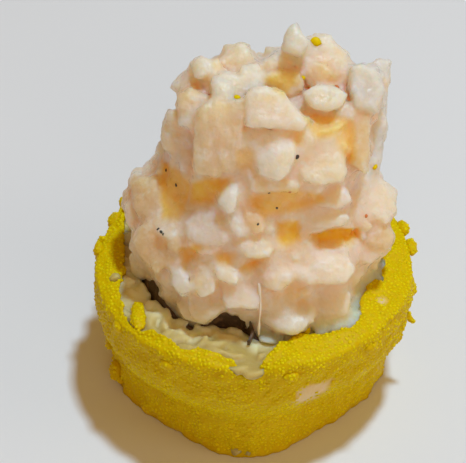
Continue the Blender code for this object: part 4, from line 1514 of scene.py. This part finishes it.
class Bodies:
    """Many closed bodies in one mesh, and which body each of its triangles belongs to."""

    def __init__(self):
        self.shell = bmesh.new()
        self.places = []
        self.corners = []
        self.owners = []
        self.tints = []

    def add(self, points, tint):
        """Add the convex hull of some points."""
        hull = bmesh.new()
        for point in points:
            hull.verts.new(point)
        result = bmesh.ops.convex_hull(hull, input=hull.verts)
        spare = {item for item in result["geom_interior"] + result["geom_unused"] if item.is_valid}
        bmesh.ops.delete(hull, geom=[item for item in spare if isinstance(item, bmesh.types.BMVert)])
        hull.verts.index_update()
        first = len(self.places)
        self.places.extend(vert.co.copy() for vert in hull.verts)
        self.corners.extend([first + vert.index for vert in face.verts] for face in hull.faces)
        self.owners.extend([len(self.tints)] * len(hull.faces))
        self.tints.append(tint)
        join_bodies(self.shell, hull)

    def tints_at(self, points, colours):
        """Colour at each point by the nearest body, how near its skin is, 0 to 1, and which body it is."""
        skin = BVHTree.FromPolygons(self.places, self.corners)
        sauce = np.array(colours.cream[:])
        palette = np.array([tuple(getattr(colours, tint)) for tint in self.tints])
        near = np.empty(len(points))
        owners = np.empty(len(points), dtype=int)
        for index, row in enumerate(points):
            point = Vector(row)
            point += noise.noise_vector(point / (1.4 * MM)) * 0.55 * MM
            _, _, face, distance = skin.find_nearest(point)
            owners[index] = self.owners[face]
            near[index] = 1.0 - smooth_rise((distance - 0.25 * MM) / (0.9 * MM))
        return sauce + (palette[owners] - sauce) * near[:, None], near, owners


def chopped_points(draw, size, placing):
    """Corners of an uneven many-sided piece."""
    points = []
    count = 14
    for index in range(count):
        level = 1.0 - 2.0 * (index + 0.5) / count
        turn = 2.4 * index + draw.uniform(-0.45, 0.45)
        ring = math.sqrt(1.0 - level * level)
        reach = draw.uniform(0.82, 1.14) * 0.5
        point = Vector((ring * math.cos(turn) * size[0], ring * math.sin(turn) * size[1], level * size[2]))
        points.append(placing @ (point * reach))
    return points


def chunk_points(sizes, look, shell, chunk, draw):
    """Corners of a piece whose outline the photo shows: a wedge that goes back along the line of sight."""
    right, up, back = camera_axes(look)
    middle = [sum(values) / len(chunk.outline) for values in zip(*chunk.outline)]
    place = shell.ray_cast(*seen_ray(sizes, look, middle))[0]
    if place is None:
        upright = Vector((0, HEAP_MIDDLE_DEPTH, 0))
        place, _ = seen_on_plane(sizes, look, middle, upright, Vector((0, 1, 0)))
    place = place + back * CHUNK_OUT * chunk.out * MM
    facing = back + right * math.tan(math.radians(chunk.turn)) + up * math.tan(math.radians(chunk.rise))
    points = [place + facing.normalized() * 0.25 * MM]
    for pixel in chunk.outline:
        corner, direction = seen_on_plane(sizes, look, pixel, place, facing)
        edge = corner + (corner - place) * 0.02 - back * draw.uniform(0.1, 0.55) * MM
        points.append(edge)
        points.append(place + (corner - place) * 0.8 + back * draw.uniform(-0.1, 0.25) * MM)
        points.append(edge + direction * chunk.depth * MM + (corner - place) * 0.04)
    return points


def outline_shell(sizes):
    """Search tree over the heap's smooth outline and the cut face that it stands on."""
    steps = 72
    angles = [360.0 * index / steps for index in range(steps)]
    heights = [share * HEAP_TOP for share in np.linspace(0.0, 1.0, 34)]
    places = [heap_point(sizes, angle, height) for height in heights for angle in angles]
    faces = []
    for row in range(len(heights) - 1):
        for index in range(steps):
            following = (index + 1) % steps
            low = row * steps
            faces.append((low + index, low + following, low + steps + following, low + steps + index))
    faces.append(tuple(range(len(places) - steps, len(places))))
    first = len(places)
    radius = sizes.top_radius - sizes.roe_thickness
    places.extend(on_circle(sizes, angle, radius, sizes.roll_height) for angle in angles)
    faces.append(tuple(range(first, first + steps)))
    return BVHTree.FromPolygons(places, faces)


def drawn_size(draw, ranges):
    """Three sizes, each drawn from its range in millimetres."""
    return Vector([draw.uniform(least, most) for least, most in ranges]) * MM


def add_back_pieces(sizes, bodies, draw):
    """Rows of chopped pieces round the sides and the back, and pieces behind the crown."""
    number = 0
    for row in BACK_ROWS:
        _, half_width, half_depth = heap_section(row * MM)
        count = round(1.25 * math.pi * (half_width + half_depth) / 2 / BACK_SPACING)
        for index in range(count):
            number += 1
            angle = BACK_START + BACK_SWEEP * (index + draw.uniform(0.25, 0.75)) / count
            height = (row + draw.uniform(-1.8, 1.8)) * MM
            size = drawn_size(draw, BACK_SIZE)
            point = heap_point(sizes, angle, height, draw.uniform(-1.9, -0.9) * MM)
            tilts = (draw.uniform(-0.5, 0.5), draw.uniform(-0.5, 0.5))
            placing = placing_at(point, *tilts, math.radians(angle + 90))
            bodies.add(chopped_points(draw, size, placing), BACK_TINTS[number % len(BACK_TINTS)])
    face = Vector((*TOP_SHIFT, sizes.roll_height))
    for spot in CROWN_SPOTS:
        number += 1
        size = drawn_size(draw, CROWN_SIZE)
        placing = placing_at(Vector(spot) * MM + face, 0, 0, draw.uniform(0, 3))
        bodies.add(chopped_points(draw, size, placing), BACK_TINTS[number % len(BACK_TINTS)])


def add_small_bits(sizes, bodies, draw):
    """Shreds and crumbs of seafood over the whole heap."""
    placed = 0
    while placed < SMALL_BITS:
        angle = draw.uniform(0, 360)
        height = draw.uniform(0.8, 33.0) * MM
        point = heap_point(sizes, angle, height, draw.uniform(-1.8, -0.5) * MM)
        if abs(angle_between(angle, POCKET_ANGLE)) < POCKET_CLEAR_ANGLE and height < POCKET_CLEAR_HEIGHT:
            continue
        placed += 1
        size = drawn_size(draw, SMALL_BIT_SIZE)
        placing = placing_at(point, draw.uniform(0, 6), draw.uniform(0, 6), draw.uniform(0, 6))
        bodies.add(chopped_points(draw, size, placing), draw.choice(BACK_TINTS))


def add_filling_bits(sizes, bodies, draw):
    """Pieces of seafood on the lower cut face of the filling."""
    for index in range(FILLING_BITS):
        angle = 360.0 * (index * 0.618 % 1.0)
        radius = FILLING_REACH * math.sqrt((index + 0.5) / FILLING_BITS)
        size = drawn_size(draw, FILLING_BIT_SIZE)
        turn = draw.uniform(0, 6)
        centre = on_circle(sizes, angle, radius, draw.uniform(0.9, 1.5) * MM)
        bodies.add(chopped_points(draw, size, placing_at(centre, 0, 0, turn)), draw.choice(BACK_TINTS))


def add_core(sizes, shell):
    """The heap under its pieces, from just inside the seaweed's upper edge."""
    steps = 96
    loops = []
    for height in (sizes.roll_height - 1.5 * MM, sizes.roll_height + HEAP_UNDERSIDE):
        loop = []
        for index in range(steps):
            angle = 360.0 * index / steps
            radius = nori_radius(sizes, angle) - sizes.nori_thickness - 0.1 * MM
            loop.append(shell.verts.new(on_circle(sizes, angle, radius, height)))
        loops.append(loop)
    for share in np.linspace(0.0, 1.0, 25):
        height = HEAP_UNDERSIDE + share * (HEAP_PROFILE[-1][0] * MM - 2.0 * MM)
        loop = []
        for index in range(steps):
            angle = 360.0 * index / steps
            lift = relief(heap_point(sizes, angle, height), 2.6 * MM, 0.7 * MM)
            loop.append(shell.verts.new(heap_point(sizes, angle, height, lift - 0.5 * MM)))
        loops.append(loop)
    for near, far in zip(loops, loops[1:]):
        bridge(shell, near, far)
    shell.faces.new(list(reversed(loops[0])))
    shell.faces.new(loops[-1])


def carve_foot(sizes, points):
    """Push the heap's skin out of the hollows at its foot, where the seaweed shows."""
    for angle, radius, height, reach in FOOT_HOLLOWS:
        turn = math.radians(angle)
        centre = np.array(on_circle(sizes, angle, radius * MM, sizes.roll_height + height * MM))
        frame_axes = np.array((
            (math.cos(turn), math.sin(turn), 0.0), (-math.sin(turn), math.cos(turn), 0.0), (0.0, 0.0, 1.0)))
        offsets = (points - centre) @ frame_axes.T / (np.array(reach) * MM)
        distance = np.linalg.norm(offsets, axis=1)
        edge = np.array([1.0 + relief(Vector(row), 1.3 * MM, 0.3) for row in points])
        inside = (distance < edge) & (points[:, 2] > sizes.roll_height - 1.0 * MM)
        grow = edge[inside] / np.maximum(distance[inside], 0.15)
        moved = offsets[inside] * grow[:, None] * np.array(reach) * MM
        points[inside] = centre + moved @ frame_axes
    return points


def keep_on_rice(sizes, points):
    """Keep the heap over the rice and roe, and the filling inside the seaweed."""
    top = sizes.roll_height
    for index, row in enumerate(points):
        if row[2] > top + 2.6 * MM:
            continue
        shift, away, angle = from_axis(sizes, row)
        inner = nori_radius(sizes, angle) - sizes.nori_thickness - 0.08 * MM
        if away.length <= inner:
            continue
        outside = body_radius(sizes, angle, top)
        limit = outside - 2.4 * MM + max(row[2] - top, -0.5 * MM)
        if away.length > limit:
            away *= limit / away.length
        floor = top + HEAP_UNDERSIDE
        if away.length > outside - 2.0 * MM:
            floor += 0.9 * MM
        if row[2] < floor:
            if row[2] > top - 3.0 * MM and away.length > inner + 0.6 * MM:
                points[index, 2] = max(row[2], floor - 1.2 * MM)
            else:
                away *= inner / away.length
        points[index, 0] = shift.x + away.x
        points[index, 1] = shift.y + away.y
    points[:, 2] = np.maximum(points[:, 2], 0.0)
    return points


class ROLL_OT_filling(bpy.types.Operator):
    """Make the seafood filling inside the seaweed"""

    bl_idname = "roll.filling"
    bl_label = "Filling"

    def execute(self, context):
        sizes = context.scene.roll_sizes
        colours = context.scene.roll_colours
        noise.seed_set(max(sizes.seed, 1))

        def profile(angle):
            """Section from the middle of the roll to the seaweed."""
            radius = nori_radius(sizes, angle) - sizes.nori_thickness - 0.1 * MM
            top = sizes.roll_height - 1.0 * MM
            shares = (0.0, 0.25, 0.5, 0.75, 1.0)
            wall = [(radius, top * share + 0.5 * MM * (1.0 - share)) for share in shares]
            return wall + [(0.2 * MM, top), (0.2 * MM, 0.5 * MM)]

        bodies = Bodies()
        join_bodies(bodies.shell, turned_ring(sizes, profile, 72))
        add_filling_bits(sizes, bodies, random.Random(sizes.seed + FILLING_DRAWS))
        filling = object_from("seafood_filling", bodies.shell)
        melt_together(filling, 1.4 * sizes.heap_voxel)
        mesh = filling.data
        points = keep_on_rice(sizes, Web(mesh).evened(read_points(mesh), 2, 0.4))
        write_points(mesh, points)
        tints, _, _ = bodies.tints_at(points, colours)
        store_colours(mesh, "tint", tints)
        dress(mesh, heap_finish(colours))
        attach(filling, "root")
        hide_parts("topping")
        return {"FINISHED"}


def heap_bodies(sizes, look):
    """All pieces of the heap, and how many of them are large."""
    bodies = Bodies()
    shell = outline_shell(sizes)
    for number, chunk in enumerate(CHUNKS):
        draw = random.Random(sizes.seed + CHUNK_DRAWS + number)
        bodies.add(chunk_points(sizes, look, shell, chunk, draw), chunk.tint)
    draw = random.Random(sizes.seed)
    add_back_pieces(sizes, bodies, draw)
    big_count = len(bodies.tints)
    add_small_bits(sizes, bodies, draw)
    add_core(sizes, bodies.shell)
    return bodies, big_count


def fibre_waves(look, tints, points, near, owners):
    """Waves across the fibres of the fibrous piece, which run up the view; none elsewhere."""
    right, up, _ = camera_axes(look)
    waves = np.zeros(len(points))
    for index in np.nonzero(np.array(tints)[owners] == FIBROUS)[0]:
        point = Vector(points[index])
        along = point.dot(right) + 0.12 * point.dot(up) + relief(point, 5.0 * MM, 0.5 * MM)
        wave = sum(depth * math.sin(along / (width * MM) * 2.0 * math.pi) for width, depth in FIBRES)
        waves[index] = near[index] * wave
    return waves


def painted_glow_shares(mesh, web, points, blobs):
    """Share of painted amber glow at each point, standing in for light that comes through the sauce: in the
    hollows, and a little in all creases.
    """
    recess = web.depth(points, 50, read_normals(mesh)) / MM
    shares = np.clip(recess - 0.15, 0.0, 0.9) / 0.9 * 0.4
    for hollow, inside in blobs:
        shares = np.maximum(shares, hollow.strength * inside)
    return web.evened(shares, 1)


class ROLL_OT_heap(bpy.types.Operator):
    """Make the heap of chopped seafood on the cut face"""

    bl_idname = "roll.heap"
    bl_label = "Seafood Heap"

    def execute(self, context):
        scene = context.scene
        sizes = scene.roll_sizes
        colours = scene.roll_colours
        look = scene.roll_look
        noise.seed_set(max(sizes.seed, 1))
        bodies, big_count = heap_bodies(sizes, look)
        heap = object_from("seafood_heap", bodies.shell)
        melt_together(heap, sizes.heap_voxel)
        mesh = heap.data
        web = Web(mesh)
        points = read_points(mesh)

        tints, near, owners = bodies.tints_at(points, colours)
        crisp = near * np.where(owners < big_count, 1.0, 0.5)
        fibre = fibre_waves(look, bodies.tints, points, near, owners)
        # Painted light and shade on the fibrous piece: its tint is lighter on the ridges and darker in the
        # grooves that the same waves raise in its skin
        tints *= (1.0 + 0.13 * fibre)[:, None]

        points = web.evened(points, 4, 0.5 - 0.22 * crisp)
        points = fill_creases(mesh, web, points, *HEAP_CREASES)
        points = web.evened(points, 2, 0.5 - 0.3 * crisp)
        for size, depth in HEAP_WARPS:
            points = warped(points, size, depth)
        blobs = [(hollow, seen_inside(sizes, look, mesh, points, hollow.outline)) for hollow in HOLLOWS]
        inward = -np.array(camera_axes(look)[2]) * np.array((1.0, 1.0, 0.4))
        for hollow, inside in blobs:
            points += inside[:, None] * inward * hollow.depth * MM
        points = fill_creases(mesh, web, carve_foot(sizes, points), *FINE_CREASES)
        write_points(mesh, points)
        lift = np.array([layered(Vector(row), HEAP_BUMPS) for row in points])
        lift = lift * (1.0 - 0.15 * crisp) + 0.09 * MM * fibre
        points = keep_on_rice(sizes, points + read_normals(mesh) * lift[:, None])
        write_points(mesh, points)

        # Painted glow: the hollows and creases are tinted amber, standing in for light that comes through the
        # sauce
        shares = painted_glow_shares(mesh, web, points, blobs)
        store_values(mesh, "clear", shares)
        tints = web.evened(tints, 14)
        tints = tints + (np.array(colours.painted_glow_amber[:]) - tints) * shares[:, None]
        light = np.array([0.5 + 0.5 * noise.noise(Vector(row) / (4.0 * MM)) for row in points])
        tints *= (0.95 + 0.1 * light)[:, None]
        store_colours(mesh, "tint", np.clip(tints, 0.0, 1.0))
        dress(mesh, heap_finish(colours))
        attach(heap, "root")
        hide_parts("topping")
        return {"FINISHED"}


def seen_inside(sizes, look, mesh, points, outline):
    """Share of each point that shows inside an outline of photo pixels, soft at its edge."""
    start = np.array(camera_place(sizes, look))
    pixels = photo_pixels(sizes, look, points)
    corners = np.array(outline, dtype=float)
    following = np.roll(corners, -1, axis=0)
    middle = corners.mean(axis=0)
    distance = np.full(len(points), 1e9)
    for corner, next_corner in zip(corners, following):
        side = next_corner - corner
        normal = np.array((side[1], -side[0])) / np.hypot(*side)
        if normal @ (middle - corner) < 0:
            normal = -normal
        distance = np.minimum(distance, (pixels - corner) @ normal)
    share = np.clip((distance + OUTLINE_START) / OUTLINE_FADE, 0.0, 1.0)
    tree = BVHTree.FromPolygons(points.tolist(), [face.vertices for face in mesh.polygons])
    for index in np.nonzero(share > 0.0)[0]:
        direction = Vector(points[index] - start).normalized()
        hit = tree.ray_cast(Vector(start), direction)[3]
        if hit is not None:
            behind = np.linalg.norm(points[index] - start) - hit
            share[index] *= 1.0 - smooth_rise((behind - 0.3 * MM) / (1.2 * MM))
    return share


# What lies on the heap


def skin_of(name):
    """Search tree over a finished piece."""
    mesh = bpy.data.objects[name].data
    return BVHTree.FromPolygons(read_points(mesh).tolist(), [face.vertices for face in mesh.polygons])


def seen_place(sizes, look, skin, pixel):
    """Place on a skin that a photo pixel shows, and its normal."""
    place, normal, _, _ = skin.ray_cast(*seen_ray(sizes, look, pixel))
    if place is None:
        raise RuntimeError(f"the piece doesn't show at {pixel}")
    return place, normal


def scatter_seen(sizes, look, skin, spots, squash):
    """Small uneven bodies at photo pixels, each half sunk into the skin."""
    draw = random.Random(sizes.seed + SPECK_DRAWS)
    body = bmesh.new()
    for pixel, width in spots:
        place, normal = seen_place(sizes, look, skin, pixel)
        size = Vector((width, width * draw.uniform(0.6, 0.9), width * squash)) * MM
        turn = normal.to_track_quat("Z", "Y").to_matrix().to_4x4()
        spin = Euler((0.0, 0.0, draw.uniform(0, 6))).to_matrix().to_4x4()
        bit = rounded_body(Vector((0, 0, 0)), size)
        aside = Vector((width, 0, 0))
        for vert in bit.verts:
            vert.co += vert.co.normalized() * relief(vert.co + aside, 0.4 * MM, 0.12 * width * MM)
        bmesh.ops.transform(bit, matrix=Matrix.Translation(place) @ turn @ spin, verts=bit.verts)
        join_bodies(body, bit)
    return body


class ROLL_OT_trimmings(bpy.types.Operator):
    """Make the specks, the stray roe and the strand of sauce on the heap"""

    bl_idname = "roll.trimmings"
    bl_label = "Trimmings"

    def execute(self, context):
        scene = context.scene
        sizes = scene.roll_sizes
        colours = scene.roll_colours
        look = scene.roll_look
        skin = skin_of("seafood_heap")
        dark = scatter_seen(sizes, look, skin, DARK_SPECKS, 0.5)
        red = scatter_seen(sizes, look, skin, RED_SPECKS, 0.5)
        roe = scatter_seen(sizes, look, skin, STRAY_ROE, 0.8)
        rice = scatter_seen(sizes, look, skin_of("roe_bed"), STRAY_RICE, 0.8)
        made = [
            (object_from("stray_rice", rice, rice_finish(colours)), "rice"),
            (object_from("dark_specks", dark, speck_finish("speck_dark", colours.speck_dark)), "seafood"),
            (object_from("red_specks", red, speck_finish("speck_red", colours.speck_red)), "seafood"),
            (object_from("stray_roe", roe, roe_grain_finish(colours)), "roe"),
            (self.strand(sizes, look, colours, skin), "seafood"),
        ]
        for piece, slot in made:
            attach(piece, "root")
        return {"FINISHED"}

    @staticmethod
    def strand(sizes, look, colours, skin):
        """Thin strand of sauce that hangs from the heap to the rice."""
        top, _ = seen_place(sizes, look, skin, STRAND_TOP)
        end = STRAND_END + Vector((*TOP_SHIFT, sizes.roll_height))
        body = bmesh.new()
        rings = []
        for step in range(STRAND_STEPS + 1):
            share = step / STRAND_STEPS
            sway = Vector((0.15 * MM * math.sin(5 * share), -0.5 * MM * math.sin(math.pi * share), 0))
            centre = top.lerp(end, share) + sway
            radius = STRAND_THICKNESS * (0.5 + 0.35 * abs(share - 0.5)) * (1.0 + 0.3 * math.sin(17 * share))
            ring = []
            for side in range(STRAND_SIDES):
                turn = 2.0 * math.pi * side / STRAND_SIDES
                ring.append(body.verts.new(centre + Vector((math.cos(turn), math.sin(turn), 0)) * radius))
            rings.append(ring)
        for near, far in zip(rings, rings[1:]):
            bridge(body, near, far)
        body.faces.new(rings[0])
        body.faces.new(list(reversed(rings[-1])))
        bmesh.ops.recalc_face_normals(body, faces=body.faces)
        return object_from("sauce_strand", body, sauce_finish(colours))


class ROLL_PT_panel(bpy.types.Panel):
    """The roll's steps in the sidebar"""

    bl_label = "Uramaki Roll"
    bl_idname = "ROLL_PT_panel"
    bl_space_type = "VIEW_3D"
    bl_region_type = "UI"
    bl_category = "Roll"

    def draw(self, context):
        for step in STEPS:
            self.layout.operator(step.bl_idname)


STEPS = (
    ROLL_OT_stage, ROLL_OT_roe_coat, ROLL_OT_rice, ROLL_OT_nori,
    ROLL_OT_filling, ROLL_OT_heap, ROLL_OT_trimmings,
)
CLASSES = (RollSizes, FoodColours, StudioLook, *STEPS, ROLL_PT_panel)


def register():
    """Register the classes and the scene's settings."""
    for item in CLASSES:
        bpy.utils.register_class(item)
    bpy.types.Scene.roll_sizes = PointerProperty(type=RollSizes)
    bpy.types.Scene.roll_colours = PointerProperty(type=FoodColours)
    bpy.types.Scene.roll_look = PointerProperty(type=StudioLook)


def unregister():
    """Remove the settings and the classes."""
    del bpy.types.Scene.roll_look
    del bpy.types.Scene.roll_colours
    del bpy.types.Scene.roll_sizes
    for item in reversed(CLASSES):
        bpy.utils.unregister_class(item)


def main():
    """Make the stage and every piece."""
    register()
    for step in STEPS:
        group, name = step.bl_idname.split(".")
        getattr(getattr(bpy.ops, group), name)()


if __name__ == "__main__":
    main()
